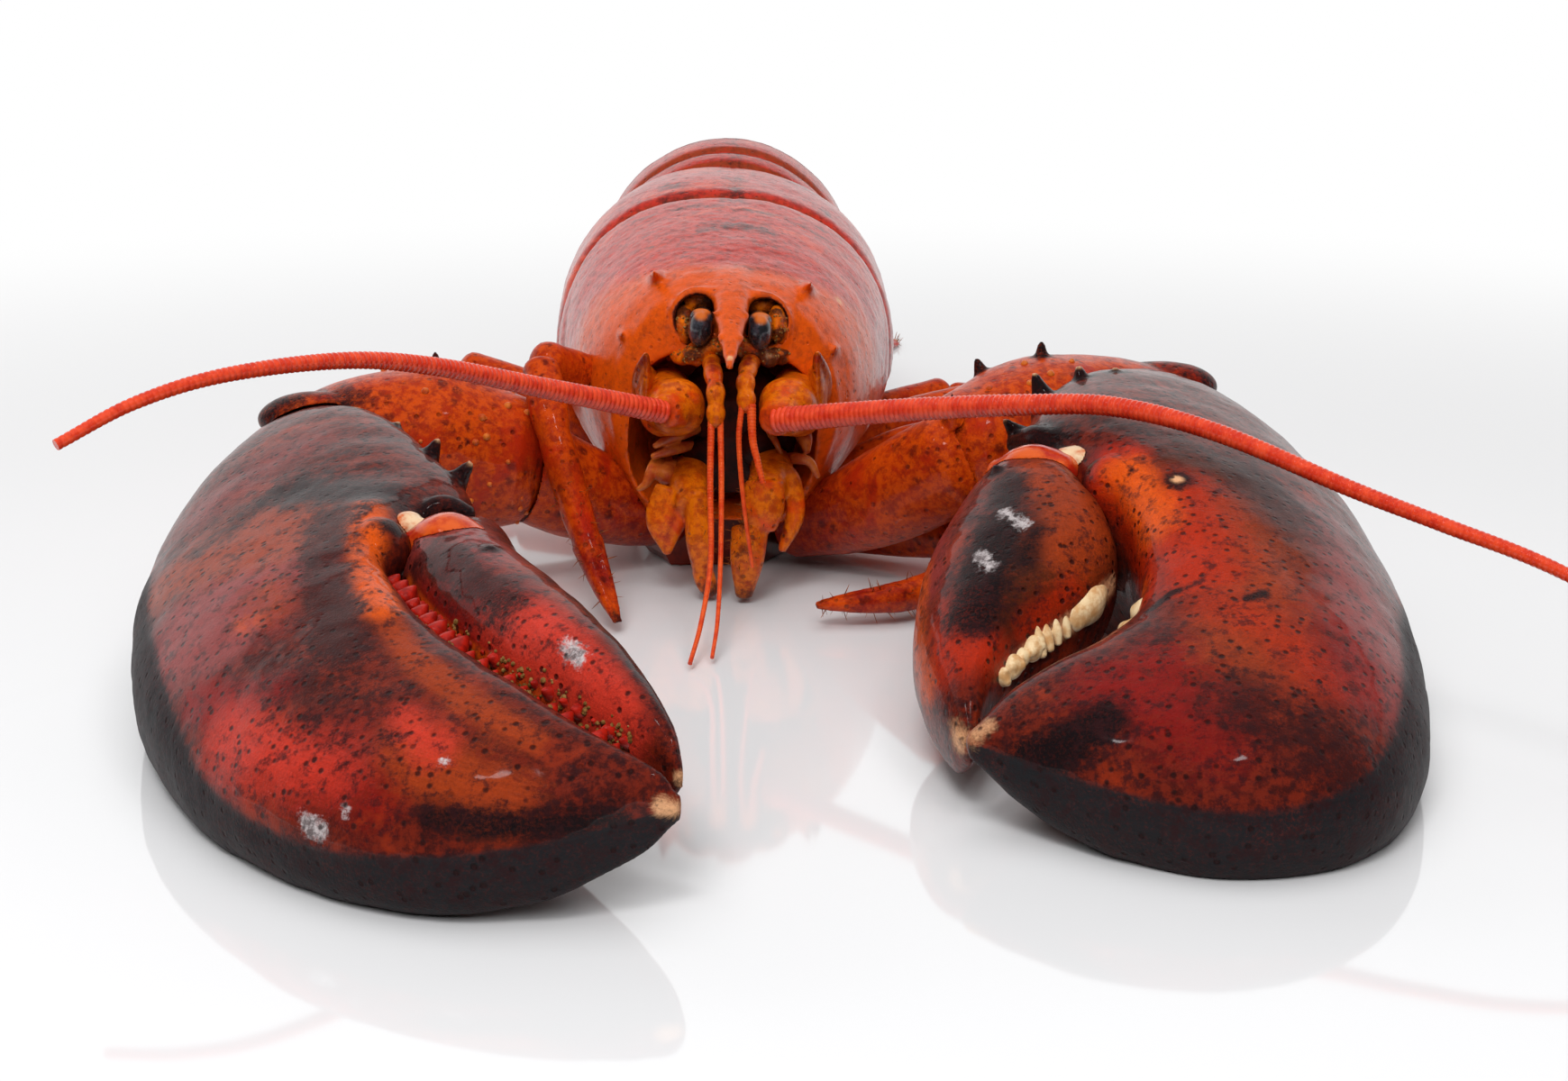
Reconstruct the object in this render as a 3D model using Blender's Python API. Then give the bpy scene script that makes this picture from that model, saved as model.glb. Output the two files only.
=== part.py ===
"""Whole cooked lobster, resting on its belly with both claws laid out in front.

Lengths are millimetres here and metres in the meshes. +Z is up, the head looks along -Y, the tail
runs along +Y and the crusher claw is on the +X side. The origin is on the flat of the breastplate.
"""

import math

import bmesh
import bpy
import numpy as np
from mathutils import Matrix, Vector
from mathutils.bvhtree import BVHTree

MM = 0.001
GAP = 0.36  # clearance left between neighbouring pieces of shell

# Driving dimensions of the animal
CARAPACE_HALF_WIDTH = 30.4
CARAPACE_TOP = 55.8
CARAPACE_FLOOR = 9.5  # level of the closed underside of the carapace
WIDEST_LEVEL = 27.0  # height of the carapace's widest line
BREASTPLATE_TOP = 9.0
BODY_ROLL = math.radians(4.0)  # the body leans towards the crusher claw
SIDES = (-1, 1)  # left, then right
ROLL_CENTRE = (0.0, 0.0, 45.0)

SHELL_RED = (0.46, 0.06, 0.025)
SHELL_DARK = (0.13, 0.03, 0.025)
SHELL_ORANGE = (0.62, 0.16, 0.02)
ANTENNA_RED = (0.50, 0.07, 0.03)
EYE_BLACK = (0.02, 0.02, 0.025)


def remove_all_objects():
    for obj in list(bpy.data.objects):
        bpy.data.objects.remove(obj)


def finish(name, colour, roughness):
    """A plain glossy material."""
    made = bpy.data.materials.new(name)
    made.use_nodes = True
    shader = made.node_tree.nodes["Principled BSDF"]
    shader.inputs["Base Color"].default_value = (*colour, 1.0)
    shader.inputs["Roughness"].default_value = roughness
    shader.inputs["Metallic"].default_value = 0.0
    return made


# Curves and sections


def through(points, count):
    """Places evenly spaced along a smooth curve through the points."""
    p = np.array(points, float)
    ends = np.vstack([2 * p[0] - p[1], p, 2 * p[-1] - p[-2]])
    fine = []
    per_span = 16
    for a, b, c, d in zip(ends[:-3], ends[1:-2], ends[2:-1], ends[3:]):
        for t in np.linspace(0.0, 1.0, per_span, endpoint=False):
            fine.append(
                0.5 * (2 * b + (c - a) * t + (2 * a - 5 * b + 4 * c - d) * t * t
                       + (3 * b - a - 3 * c + d) * t ** 3)
            )
    fine.append(p[-1])
    fine = np.array(fine)
    length = np.concatenate([[0.0], np.cumsum(np.linalg.norm(np.diff(fine, axis=0), axis=1))])
    wanted = np.linspace(0.0, length[-1], count)
    return np.stack([np.interp(wanted, length, fine[:, k]) for k in range(p.shape[1])], axis=1)


def stations(table, count):
    """A table of station rows, read smoothly at count even steps of its row number."""
    rows = np.array(table, float)
    ends = np.vstack([2 * rows[0] - rows[1], rows, 2 * rows[-1] - rows[-2]])
    made = []
    for place in np.linspace(0.0, len(rows) - 1.0, count):
        i = min(int(place), len(rows) - 2)
        t = place - i
        a, b, c, d = ends[i:i + 4]
        made.append(
            0.5 * (2 * b + (c - a) * t + (2 * a - 5 * b + 4 * c - d) * t * t
                   + (3 * b - a - 3 * c + d) * t ** 3)
        )
    return np.array(made)


def rounded(value, exponent):
    """A cosine or sine reshaped into a superellipse's."""
    return math.copysign(abs(value) ** (2.0 / exponent), value)


def ring(centre, side, up, sides, exponent=2.0, drop=1.0):
    """One closed section. side and up are half extents, and drop scales the part below the centre."""
    made = []
    for k in range(sides):
        angle = 2 * math.pi * k / sides
        c, s = rounded(math.cos(angle), exponent), rounded(math.sin(angle), exponent)
        made.append(centre + side * c + up * (s if s > 0 else s * drop))
    return made


# Meshes


def mesh_object(name, points, faces, material):
    mesh = bpy.data.meshes.new(name)
    mesh.from_pydata([tuple(np.asarray(p, float) * MM) for p in points], [], faces)
    work = bmesh.new()
    work.from_mesh(mesh)
    bmesh.ops.recalc_face_normals(work, faces=work.faces)
    work.to_mesh(mesh)
    work.free()
    mesh.materials.append(material)
    mesh.shade_smooth()
    mesh.set_sharp_from_angle(angle=math.radians(40))
    obj = bpy.data.objects.new(name, mesh)
    bpy.context.scene.collection.objects.link(obj)
    return obj


def loft(name, rings, material, flat_ends=False):
    """A closed skin over the rings. Each end is one flat face, or a fan from its middle."""
    sides = len(rings[0])
    points = [p for r in rings for p in r]
    faces = []
    for i in range(len(rings) - 1):
        for k in range(sides):
            n = (k + 1) % sides
            faces.append((i * sides + k, i * sides + n, (i + 1) * sides + n, (i + 1) * sides + k))
    if flat_ends:
        faces += [tuple(range(sides)), tuple(range(len(points) - sides, len(points)))]
        return mesh_object(name, points, faces, material)
    for i in (0, len(rings) - 1):
        points.append(np.mean(rings[i], axis=0))
        hub = len(points) - 1
        faces += [(i * sides + k, i * sides + (k + 1) % sides, hub) for k in range(sides)]
    return mesh_object(name, points, faces, material)


def domed(rings, first=0.0, last=0.0, steps=1):
    """The rings with a round dome of the given height added at either end."""
    made = list(rings)
    for height, end in ((first, 0), (last, -1)):
        if not height:
            continue
        edge = np.array(rings[end])
        inner = np.array(rings[1 if end == 0 else -2])
        centre = edge.mean(axis=0)
        outward = centre - inner.mean(axis=0)
        outward = outward / np.linalg.norm(outward)
        for s in range(1, steps + 1):
            angle = 0.5 * math.pi * s / (steps + 0.4)
            cap = centre + (edge - centre) * math.cos(angle) + outward * height * math.sin(angle)
            if end == 0:
                made.insert(0, list(cap))
            else:
                made.append(list(cap))
    return made


def limb(name, route, radii, material, sides=8, count=6, dome=(0.8, 0.8), exponent=2.2):
    """A tapering shell tube. radii are rows of (across, upright) along the route."""
    line = through(route, count)
    sizes = stations(radii, count)
    rings = []
    for i in range(count):
        ahead = line[min(i + 1, count - 1)] - line[max(i - 1, 0)]
        ahead = ahead / np.linalg.norm(ahead)
        side = np.cross(ahead, (0.0, 0.0, 1.0))
        if np.linalg.norm(side) < 0.2:
            side = np.cross(ahead, (0.0, 1.0, 0.0))
        side = side / np.linalg.norm(side)
        up = np.cross(side, ahead)
        rings.append(ring(line[i], side * sizes[i][0], up * sizes[i][1], sides, exponent))
    return loft(name, domed(rings, dome[0] * min(sizes[0]), dome[1] * min(sizes[-1])), material)


def blade(name, rows, material, sides=14, count=14, exponent=2.3, dome=(0.0, 0.0)):
    """A claw's finger or palm. Rows are inner (x, y, z), outer (x, y, z), then height above and below."""
    rings = []
    for row in stations(rows, count):
        inner, outer, above, below = row[:3], row[3:6], row[6], row[7]
        rings.append(
            ring((inner + outer) / 2, (outer - inner) / 2, np.array((0.0, 0.0, above)), sides,
                 exponent, below / above)
        )
    return loft(name, domed(rings, dome[0], dome[1]), material)


def ellipsoid(name, centre, radii, material, across=8, along=6):
    rings = []
    for i in range(1, along):
        angle = math.pi * i / along
        middle = np.array(centre, float) + np.array((0.0, 0.0, -radii[2] * math.cos(angle)))
        wide = math.sin(angle)
        rings.append(ring(middle, np.array((radii[0] * wide, 0, 0)), np.array((0, radii[1] * wide, 0)),
                          across))
    return loft(name, rings, material)


def thorn(base, tip, radius, material, sides=5):
    """A blunt cone standing on base."""
    base, tip = np.array(base, float), np.array(tip, float)
    ahead = (tip - base) / np.linalg.norm(tip - base)
    side = np.cross(ahead, (0.3, 0.9, 0.1))
    side = side / np.linalg.norm(side)
    up = np.cross(side, ahead)
    steps = ((-0.35, 1.15), (0.2, 0.85), (0.9, 0.28))
    rings = [
        ring(base + (tip - base) * share, side * radius * wide, up * radius * wide, sides)
        for share, wide in steps
    ]
    return loft("thorn", rings, material)


# Joining and carving


SOLVERS = (("EXACT", False), ("EXACT", True), ("MANIFOLD", False))
WELDS = (0.1, 0.03, 0.003)  # points nearer than this become one, where the skin stays closed


def all_edges_paired(work):
    return len(work.faces) > 3 and all(len(edge.link_faces) == 2 for edge in work.edges)


def is_closed(mesh):
    work = bmesh.new()
    work.from_mesh(mesh)
    closed = all_edges_paired(work)
    work.free()
    return closed


def combine(obj, others, operation):
    """obj joined with, or cut by, the others, which are then removed."""
    helpers = bpy.data.collections.new("helpers")
    bpy.context.scene.collection.children.link(helpers)
    for other in others:
        helpers.objects.link(other)
    modifier = obj.modifiers.new("combine", "BOOLEAN")
    modifier.operation = operation
    modifier.operand_type = "COLLECTION"
    modifier.collection = helpers
    for solver, crossing in SOLVERS:
        modifier.solver = solver
        modifier.use_self = crossing
        bpy.context.view_layer.update()
        graph = bpy.context.evaluated_depsgraph_get()
        mesh = bpy.data.meshes.new_from_object(obj.evaluated_get(graph))
        if is_closed(mesh):
            break
    obj.modifiers.clear()
    obj.data = mesh
    for other in list(helpers.objects):
        bpy.data.objects.remove(other)
    bpy.data.collections.remove(helpers)
    tidy_skin(obj)


def drop_scraps(work):
    """Keeps only the largest connected body."""
    left, islands = set(work.verts), []
    while left:
        start = left.pop()
        island, frontier = {start}, [start]
        while frontier:
            for edge in frontier.pop().link_edges:
                for vert in edge.verts:
                    if vert in left:
                        left.discard(vert)
                        island.add(vert)
                        frontier.append(vert)
        islands.append(island)
    islands.sort(key=len)
    for island in islands[:-1]:
        bmesh.ops.delete(work, geom=list(island), context="VERTS")


def tidy_skin(obj):
    """Drops loose scraps that a cut leaves, and joins points that all but coincide."""
    for weld in WELDS:
        work = bmesh.new()
        work.from_mesh(obj.data)
        bmesh.ops.remove_doubles(work, verts=work.verts, dist=weld * MM)
        bmesh.ops.dissolve_degenerate(work, edges=work.edges, dist=0.1 * weld * MM)
        drop_scraps(work)
        bmesh.ops.triangulate(work, faces=work.faces)
        if all_edges_paired(work):
            work.to_mesh(obj.data)
            work.free()
            return
        work.free()


def box_of(obj):
    corners = np.array([v.co for v in obj.data.vertices])
    return corners.min(axis=0), corners.max(axis=0)


def swollen(obj, distance):
    """A copy of obj grown outwards, used as a cutter so that a gap is left."""
    copy = bpy.data.objects.new("cutter", obj.data.copy())
    bpy.context.scene.collection.objects.link(copy)
    work = bmesh.new()
    work.from_mesh(copy.data)
    work.normal_update()
    moves = [(v, v.normal.copy() * max(1.0, min(v.calc_shell_factor(), 1.6))) for v in work.verts]
    for vert, way in moves:
        vert.co += way * distance * MM
    work.to_mesh(copy.data)
    work.free()
    copy.hide_render = True
    copy.display_type = "WIRE"
    return copy


def meshes_meet(a, b):
    trees = []
    for obj in (a, b):
        work = bmesh.new()
        work.from_mesh(obj.data)
        trees.append(BVHTree.FromBMesh(work))
        work.free()
    return bool(trees[0].overlap(trees[1]))


def carve_in_order(objects):
    """Each piece is cut back from every earlier one that it meets."""
    for i, piece in enumerate(objects):
        for other in objects[:i]:
            low, high = box_of(piece)
            other_low, other_high = box_of(other)
            margin = GAP * MM
            if (low > other_high + margin).any() or (other_low > high + margin).any():
                continue
            cutter = swollen(other, GAP)
            if meshes_meet(piece, cutter):
                combine(piece, [cutter], "DIFFERENCE")
            else:
                bpy.data.objects.remove(cutter)


def turned(obj, matrix):
    obj.data.transform(matrix)
    return obj


def body_lean(share=1.0):
    """The roll of the body about its back line."""
    centre = Vector(ROLL_CENTRE) * MM
    turn = Matrix.Rotation(BODY_ROLL * share, 4, "Y")
    return Matrix.Translation(centre) @ turn @ Matrix.Translation(-centre)


TABLE_REACH = 300.0
TABLE_DEPTH = 60.0


def stand_on_floor(obj):
    """Cuts off what would reach below the table, which leaves a small flat to rest on."""
    low, _ = box_of(obj)
    if low[2] >= 0.0:
        return
    ways = ((-1, -1), (1, -1), (1, 1), (-1, 1))
    corners = [(x * TABLE_REACH, y * TABLE_REACH, z) for z in (-TABLE_DEPTH, 0.0) for x, y in ways]
    sides = [(0, 1, 2, 3), (4, 5, 6, 7), (0, 1, 5, 4), (1, 2, 6, 5), (2, 3, 7, 6), (3, 0, 4, 7)]
    combine(obj, [mesh_object("table", corners, sides, obj.data.materials[0])], "DIFFERENCE")


# Carapace, breastplate and face

# y, half width, top, along the carapace from the eye sockets to the rear margin
CARAPACE_ROWS = (
    (-45.0, 18.5, 48.2),
    (-40.0, 21.6, 49.3),
    (-30.0, 25.0, 51.0),
    (-20.0, 27.2, 52.4),
    (-10.0, 28.8, 53.6),
    (0.0, 29.8, 54.6),
    (10.0, 30.2, 55.2),
    (20.0, CARAPACE_HALF_WIDTH, CARAPACE_TOP),
    (30.0, 29.8, 55.6),
    (38.0, 28.4, 55.0),
    (45.0, 26.0, 54.0),
)
GROOVE_PLACE = 6.0  # where the neck groove crosses the back
GROOVE_SWEEP = 30.0  # how far forward it has run by the sides
GROOVE_DEPTH = 1.5
GROOVE_WIDTH = 2.6


def carapace(shell):
    rows = 16
    sides = 22
    rings = []
    for y, half, top in stations(CARAPACE_ROWS, rows):
        section = []
        for k in range(sides):
            angle = 2 * math.pi * k / sides
            c, s = rounded(math.cos(angle), 2.25), rounded(math.sin(angle), 2.25)
            if s >= 0:
                z = WIDEST_LEVEL + (top - WIDEST_LEVEL) * s
                x = half * c
            else:
                z = WIDEST_LEVEL + (WIDEST_LEVEL - CARAPACE_FLOOR) * max(s * 1.25, -1.0)
                x = half * c * (1.0 + 0.18 * s)
            height = max(0.0, (z - CARAPACE_FLOOR) / (top - CARAPACE_FLOOR))
            groove_y = GROOVE_PLACE - GROOVE_SWEEP * (1.0 - height) ** 1.5
            depth = GROOVE_DEPTH * math.exp(-(((y - groove_y) / GROOVE_WIDTH) ** 2)) * min(1.0, 2 * height)
            shrink = 1.0 - depth / half
            section.append(np.array((x * shrink, y, WIDEST_LEVEL + (z - WIDEST_LEVEL) * shrink)))
        rings.append(section)
    body = loft("carapace", rings, shell)
    hollow = ((15.5, 14.4), (15.5, 14.4), (12.5, 11.5))
    face = limb("face", ((0, -66, 24), (0, -36, 24)), hollow, shell, 14, 4, exponent=3.0)
    sockets = [ellipsoid("socket", (side * 5.4, -48.5, 43.0), (3.5, 7.5, 3.6), shell) for side in SIDES]
    combine(body, [face, *sockets], "DIFFERENCE")
    combine(body, [rostrum(shell), *carapace_thorns(shell)], "UNION")
    return body


def rostrum(shell):
    """The toothed spike between the eyes."""
    rows = ((-36.0, 4.4, 47.0, 3.1), (-44.0, 3.6, 46.5, 2.6), (-52.0, 2.7, 45.0, 2.0),
            (-60.0, 1.8, 42.4, 1.5), (-68.0, 0.5, 39.4, 0.5))
    rings = [
        ring(np.array((0.0, y, z)), np.array((half, 0, 0)), np.array((0, 0, thick)), 8, 2.4)
        for y, half, z, thick in stations(rows, 6)
    ]
    spike = loft("rostrum", rings, shell)
    teeth = []
    for y, half, z in ((-46.0, 3.3, 46.5), (-53.0, 2.5, 44.8), (-59.5, 1.8, 42.7)):
        for side in SIDES:
            foot = (side * half * 0.75, y, z)
            teeth.append(thorn(foot, (side * (half + 0.8), y - 2.6, z + 0.9), 0.8, shell))
    combine(spike, teeth, "UNION")
    return spike


def carapace_thorns(shell):
    made = []
    for side in SIDES:
        made.append(thorn((side * 12.0, -38.5, 47.0), (side * 12.6, -43.5, 49.2), 1.3, shell))
        made.append(thorn((side * 16.8, -41.0, 38.0), (side * 17.0, -47.0, 39.5), 1.4, shell))
    return made


def breastplate(shell):
    """The underside between the legs. Its flat bottom is what the body rests on."""
    rows = ((-38.0, 8.0, -2.5), (-30.0, 12.0, -3.0), (-10.0, 14.0, -3.0), (15.0, 14.5, -3.0),
            (35.0, 13.0, -3.0), (43.0, 10.0, -2.5))
    rings = []
    for y, half, low in rows:
        section = []
        corners = ((-0.75, low), (0.75, low), (1.0, low + 3.5), (1.0, BREASTPLATE_TOP),
                   (-1.0, BREASTPLATE_TOP), (-1.0, low + 3.5))
        for x, z in corners:
            section.append(np.array((x * half, y, z)))
        rings.append(section)
    return loft("breastplate", rings, shell)


def eye(name, side, black):
    return ellipsoid(name, (side * 4.8, -50.8, 42.2), (2.3, 3.0, 2.8), black)


def feeler_base(name, side, orange, end):
    """The jointed root of a long antenna, which turns outwards into the whip."""
    route = ((side * 10.5, -42.0, 29.5), (side * 10.0, -51.0, 29.5), (side * 7.6, -58.0, 31.5), end)
    return limb(name, route, ((3.6, 4.2), (4.2, 4.4), (4.5, 4.3), (2.3, 2.3)), orange, 10, 7, (0.5, 0.1))


def feeler_scale(name, side, orange):
    """The pointed plate outside the root of the antenna."""
    route = ((side * 12.6, -44.0, 29.0), (side * 13.6, -51.0, 33.0), (side * 13.0, -57.5, 39.5))
    return limb(name, route, ((2.4, 4.6), (1.6, 4.2), (0.4, 0.5)), orange, 8, 5, (0.4, 0.2))


# Long antennae: the left one is broken short, the right one runs out to its tip
LEFT_WHIP = ((-10.4, -61.9, 31.6), (-28.2, -75.0, 38.5), (-42.4, -88.0, 44.6), (-53.5, -98.0, 47.6),
             (-67.2, -110.0, 48.3), (-77.5, -118.0, 46.4), (-86.2, -125.0, 42.6))
RIGHT_WHIP = ((6.6, -62.6, 30.4), (25.2, -73.5, 34.4), (41.3, -85.0, 37.8), (53.6, -94.0, 39.6),
              (66.0, -105.5, 38.6), (81.3, -120.0, 34.4), (90.6, -130.0, 32.4), (103.2, -142.0, 29.2),
              (119.0, -157.0, 21.5), (133.0, -171.0, 11.0), (146.0, -184.0, 1.4))
WHIP_THICK = 2.05
WHIP_THIN_LEFT = 0.78
WHIP_THIN_RIGHT = 0.4


def whip(name, route, thin, count, red):
    return limb(name, route, ((WHIP_THICK, WHIP_THICK), (thin, thin)), red, 6, count, (0.2, 0.8), 2.0)


# Small feelers: the route of the stalk, then of its two thin whips, with their radii
SMALL_FEELERS = {
    "antennule_left": {
        "stalk": ((-3.3, -47, 36.6), (-3.0, -56, 37.0), (-2.5, -62, 34.9), (-2.5, -64, 30.2)),
        "whips": (
            ((-3.2, -64, 30.6), (-3.4, -68.5, 22), (-3.4, -75, 11.5), (-4.8, -83, 4.6), (-6.4, -91, 0.9)),
            ((-1.8, -64, 30.6), (-1.7, -68.5, 22), (-1.9, -75, 11.5), (-2.4, -82, 4.4), (-3.2, -88.5, 0.9)),
        ),
        "thick": (0.55, 0.5),
    },
    "antennule_right": {
        "stalk": ((3.3, -47, 36.6), (2.7, -55, 37.2), (2.1, -60.5, 36.0), (2.2, -63.2, 32.4)),
        "whips": (
            ((1.5, -63.3, 33), (1.0, -65, 27.5), (1.7, -66, 18), (3.0, -66.4, 8)),
            ((2.9, -63.3, 33), (3.1, -65, 28), (3.8, -66, 24.8), (4.6, -66.6, 21.5)),
        ),
        "thick": (0.5, 0.75),
    },
}
STALK_RADII = ((1.5, 1.5), (1.6, 1.6), (1.6, 1.5), (1.5, 1.2))


def small_feelers(name, orange):
    """A short stalk with two thin whips that hang down in front of the mouth."""
    look = SMALL_FEELERS[name]
    stalk = limb(name, look["stalk"], STALK_RADII, orange, 8, 6, (0.4, 0.6))
    whips = []
    for route, thick in zip(look["whips"], look["thick"]):
        ends = ((thick, thick), (thick * 0.6, thick * 0.6))
        whips.append(limb("whiplet", route, ends, orange, 5, 9, (0.3, 0.3), 2.0))
    combine(stalk, whips, "UNION")
    return stalk


# Outermost mouthparts: each is a few flattened lengths, as route, radii, sides and count
JAW_LEGS = {
    "jaw_leg_left": (
        (((-5.5, -42, 18), (-6.8, -50, 17.8), (-6.0, -56.5, 15.4)),
         ((3.0, 3.0), (3.2, 3.0), (2.9, 2.6)), 8, 5),
        (((-5.4, -56.5, 15.6), (-5.2, -58, 10), (-4.7, -57.8, 5), (-3.4, -57.5, 1.2)),
         ((2.3, 2.3), (2.1, 2.0), (1.9, 1.8), (1.4, 1.1)), 8, 6),
        (((-6.6, -54.5, 16.2), (-11.0, -54.5, 13.2), (-10.4, -55.5, 7.4)),
         ((2.0, 2.0), (3.0, 1.7), (1.0, 0.8)), 8, 5),
    ),
    "jaw_leg_right": (
        (((5.5, -42, 18.5), (6.4, -50, 19.2), (5.4, -56.5, 17.4), (4.6, -58.6, 12.8)),
         ((3.0, 3.0), (3.2, 3.1), (3.1, 2.9), (2.5, 2.3)), 8, 6),
        (((3.4, -58.6, 12.4), (2.0, -59.2, 6.5), (1.5, -58.6, 1.2)),
         ((2.6, 2.6), (2.4, 2.1), (1.5, 1.2)), 8, 5),
        (((7.0, -51, 20), (9.6, -54, 18.2), (9.8, -55.4, 13), (7.6, -56.4, 8)),
         ((1.6, 1.6), (1.6, 1.3), (1.4, 1.1), (0.7, 0.6)), 6, 6),
    ),
}


def jaw_leg(name, orange):
    """The outermost mouthpart, a flattened leg folded under the face."""
    lengths = [
        limb(name, route, radii, orange, sides, count, (0.5, 0.6), 2.6)
        for route, radii, sides, count in JAW_LEGS[name]
    ]
    combine(lengths[0], lengths[1:], "UNION")
    return lengths[0]


def mouth(shell):
    return ellipsoid("mouth", (0.0, -41.0, 24.0), (11.0, 7.0, 11.5), shell, 10, 6)


# Claws, rolled so that the outer margin lies lowest. Rows run from the wrist to the tip, as the inner
# margin (x, y, z), the outer margin (x, y, z), and the height above and below the line between them.

CRUSHER_PALM = (
    (53.0, -51.0, 25.0, 75.0, -36.0, 23.0, 10.0, 11.0),
    (47.0, -61.0, 26.0, 82.5, -51.5, 20.0, 13.5, 16.5),
    (43.0, -73.0, 26.0, 88.8, -70.0, 16.5, 15.8, 19.0),
    (42.0, -85.0, 25.5, 92.0, -92.0, 12.5, 17.0, 19.6),
    (47.0, -97.0, 25.0, 92.4, -113.0, 9.0, 16.0, 18.0),
    (53.0, -111.0, 23.5, 89.6, -134.0, 7.0, 14.0, 16.0),
    (53.5, -124.0, 21.0, 83.5, -153.5, 6.0, 12.0, 14.0),
    (51.0, -133.0, 18.5, 73.0, -166.0, 5.5, 10.5, 12.3),
    (45.5, -138.5, 16.5, 59.0, -169.5, 5.5, 9.5, 11.3),
    (39.0, -142.0, 14.5, 46.5, -165.0, 7.0, 8.0, 10.0),
    (33.0, -146.0, 13.0, 37.0, -158.5, 8.5, 5.5, 7.0),
    (28.5, -151.0, 11.5, 29.5, -153.5, 11.0, 2.0, 2.2),
)
CRUSHER_FINGER = (
    (46.5, -93.0, 24.5, 38.5, -85.0, 23.5, 9.0, 10.0),
    (51.0, -104.0, 23.0, 31.5, -94.5, 20.0, 11.5, 13.0),
    (51.5, -116.0, 20.5, 26.3, -107.5, 16.5, 12.0, 14.0),
    (45.5, -124.5, 17.5, 23.8, -120.0, 13.5, 11.0, 13.0),
    (37.5, -131.0, 14.5, 23.8, -131.5, 11.0, 9.0, 10.5),
    (32.5, -138.5, 12.0, 26.3, -141.5, 9.0, 6.0, 7.5),
    (30.0, -145.0, 9.3, 28.6, -147.0, 7.8, 2.0, 2.2),
)
CUTTER_PALM = (
    (-54.0, -63.0, 24.0, -71.0, -50.0, 21.5, 9.0, 11.0),
    (-47.0, -74.0, 25.0, -78.5, -63.0, 17.5, 12.5, 15.5),
    (-40.5, -88.0, 24.5, -83.0, -81.0, 13.5, 13.5, 18.0),
    (-35.5, -101.0, 24.0, -83.2, -101.0, 10.5, 13.0, 18.0),
    (-41.0, -114.0, 23.5, -79.4, -123.0, 8.5, 12.0, 16.8),
    (-44.5, -126.0, 22.5, -71.0, -144.5, 7.0, 10.5, 14.0),
    (-38.5, -140.0, 21.0, -59.5, -161.5, 6.5, 9.5, 12.5),
    (-30.5, -152.0, 19.5, -47.0, -173.0, 6.0, 8.5, 11.0),
    (-22.0, -162.0, 18.0, -35.0, -178.5, 6.5, 7.5, 10.0),
    (-14.5, -169.8, 16.5, -22.5, -179.3, 8.0, 6.0, 8.0),
    (-8.5, -174.6, 15.0, -12.5, -178.0, 11.0, 4.0, 5.0),
    (-6.6, -176.0, 13.8, -7.6, -177.2, 12.8, 1.8, 2.0),
)
CUTTER_FINGER = (
    (-45.0, -116.0, 22.0, -30.0, -107.5, 21.0, 8.0, 8.5),
    (-43.0, -124.5, 22.0, -27.0, -118.5, 20.5, 9.0, 11.0),
    (-37.0, -137.0, 21.0, -21.0, -132.5, 20.0, 9.0, 11.5),
    (-29.0, -149.0, 20.0, -14.4, -147.0, 19.5, 8.5, 11.0),
    (-20.6, -159.3, 18.5, -9.4, -159.0, 18.5, 7.0, 9.5),
    (-13.0, -167.2, 17.0, -6.4, -168.5, 17.0, 5.0, 7.0),
    (-7.5, -172.4, 15.6, -5.8, -173.2, 15.4, 2.0, 2.2),
)

# Thorns on the inner edge of each palm: foot, the way that they point, and radius
CRUSHER_THORNS = (
    ((47.5, -66.0, 33.0), (-1.8, 1.0, 5.4), 2.4),
    ((53.5, -65.0, 34.0), (-0.8, 1.5, 5.0), 2.2),
    ((58.5, -64.0, 35.0), (0.0, 1.5, 3.6), 1.6),
    ((42.5, -80.0, 31.5), (-3.2, -0.4, 3.4), 2.2),
    ((59.5, -110.0, 30.0), (0.4, -1.0, 3.6), 1.8),
)
CUTTER_THORNS = (
    ((-56.5, -70.0, 29.5), (0.5, 1.5, 4.0), 1.7),
    ((-50.5, -76.5, 29.5), (1.6, 1.0, 4.6), 2.0),
    ((-44.5, -87.0, 29.0), (2.6, 0.5, 5.0), 2.4),
    ((-40.0, -95.0, 28.0), (3.6, 0.0, 4.6), 2.6),
)
CRUSHER_KNOB = ((52.5, -102.0, 29.5), (4.4, 5.0, 4.8))  # socket bumps beside the fingers' hinges
CUTTER_KNOB = ((-46.0, -120.0, 26.8), (3.6, 4.2, 4.0))
CRUSHER_MOLARS = 6
CUTTER_TEETH = 9


def biting_edge(rows, first, last, count):
    """Places along a blade's inner margin between two of its rows."""
    return through([row[:3] for row in rows[first:last + 1]], count)


def teeth_on(rows, span, count, size, towards, shell):
    """Blunt teeth on a biting edge, smaller towards the tip."""
    made = []
    for i, place in enumerate(biting_edge(rows, span[0], span[1], count)):
        radius = size * (1.0 - 0.45 * i / count)
        reach = np.array(towards, float)
        reach = reach / np.linalg.norm(reach) * radius * 1.3
        made.append(thorn(place - reach * 0.4, place + reach, radius, shell))
    return made


def palm(name, rows, thorns, knob, teeth, shell):
    """The palm and its fixed finger, with thorns on the inner edge and teeth on the biting edge."""
    body = blade(name, rows, shell, 14, 15, 2.3, (3.0, 1.0))
    spikes = [thorn(place, np.add(place, way), radius, shell) for place, way, radius in thorns]
    combine(body, [*spikes, ellipsoid("knob", knob[0], knob[1], shell), *teeth], "UNION")
    return body


def finger(name, rows, teeth, shell):
    """The movable finger."""
    body = blade(name, rows, shell, 12, 10, 2.2, (3.0, 1.0))
    combine(body, teeth, "UNION")
    return body


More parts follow.
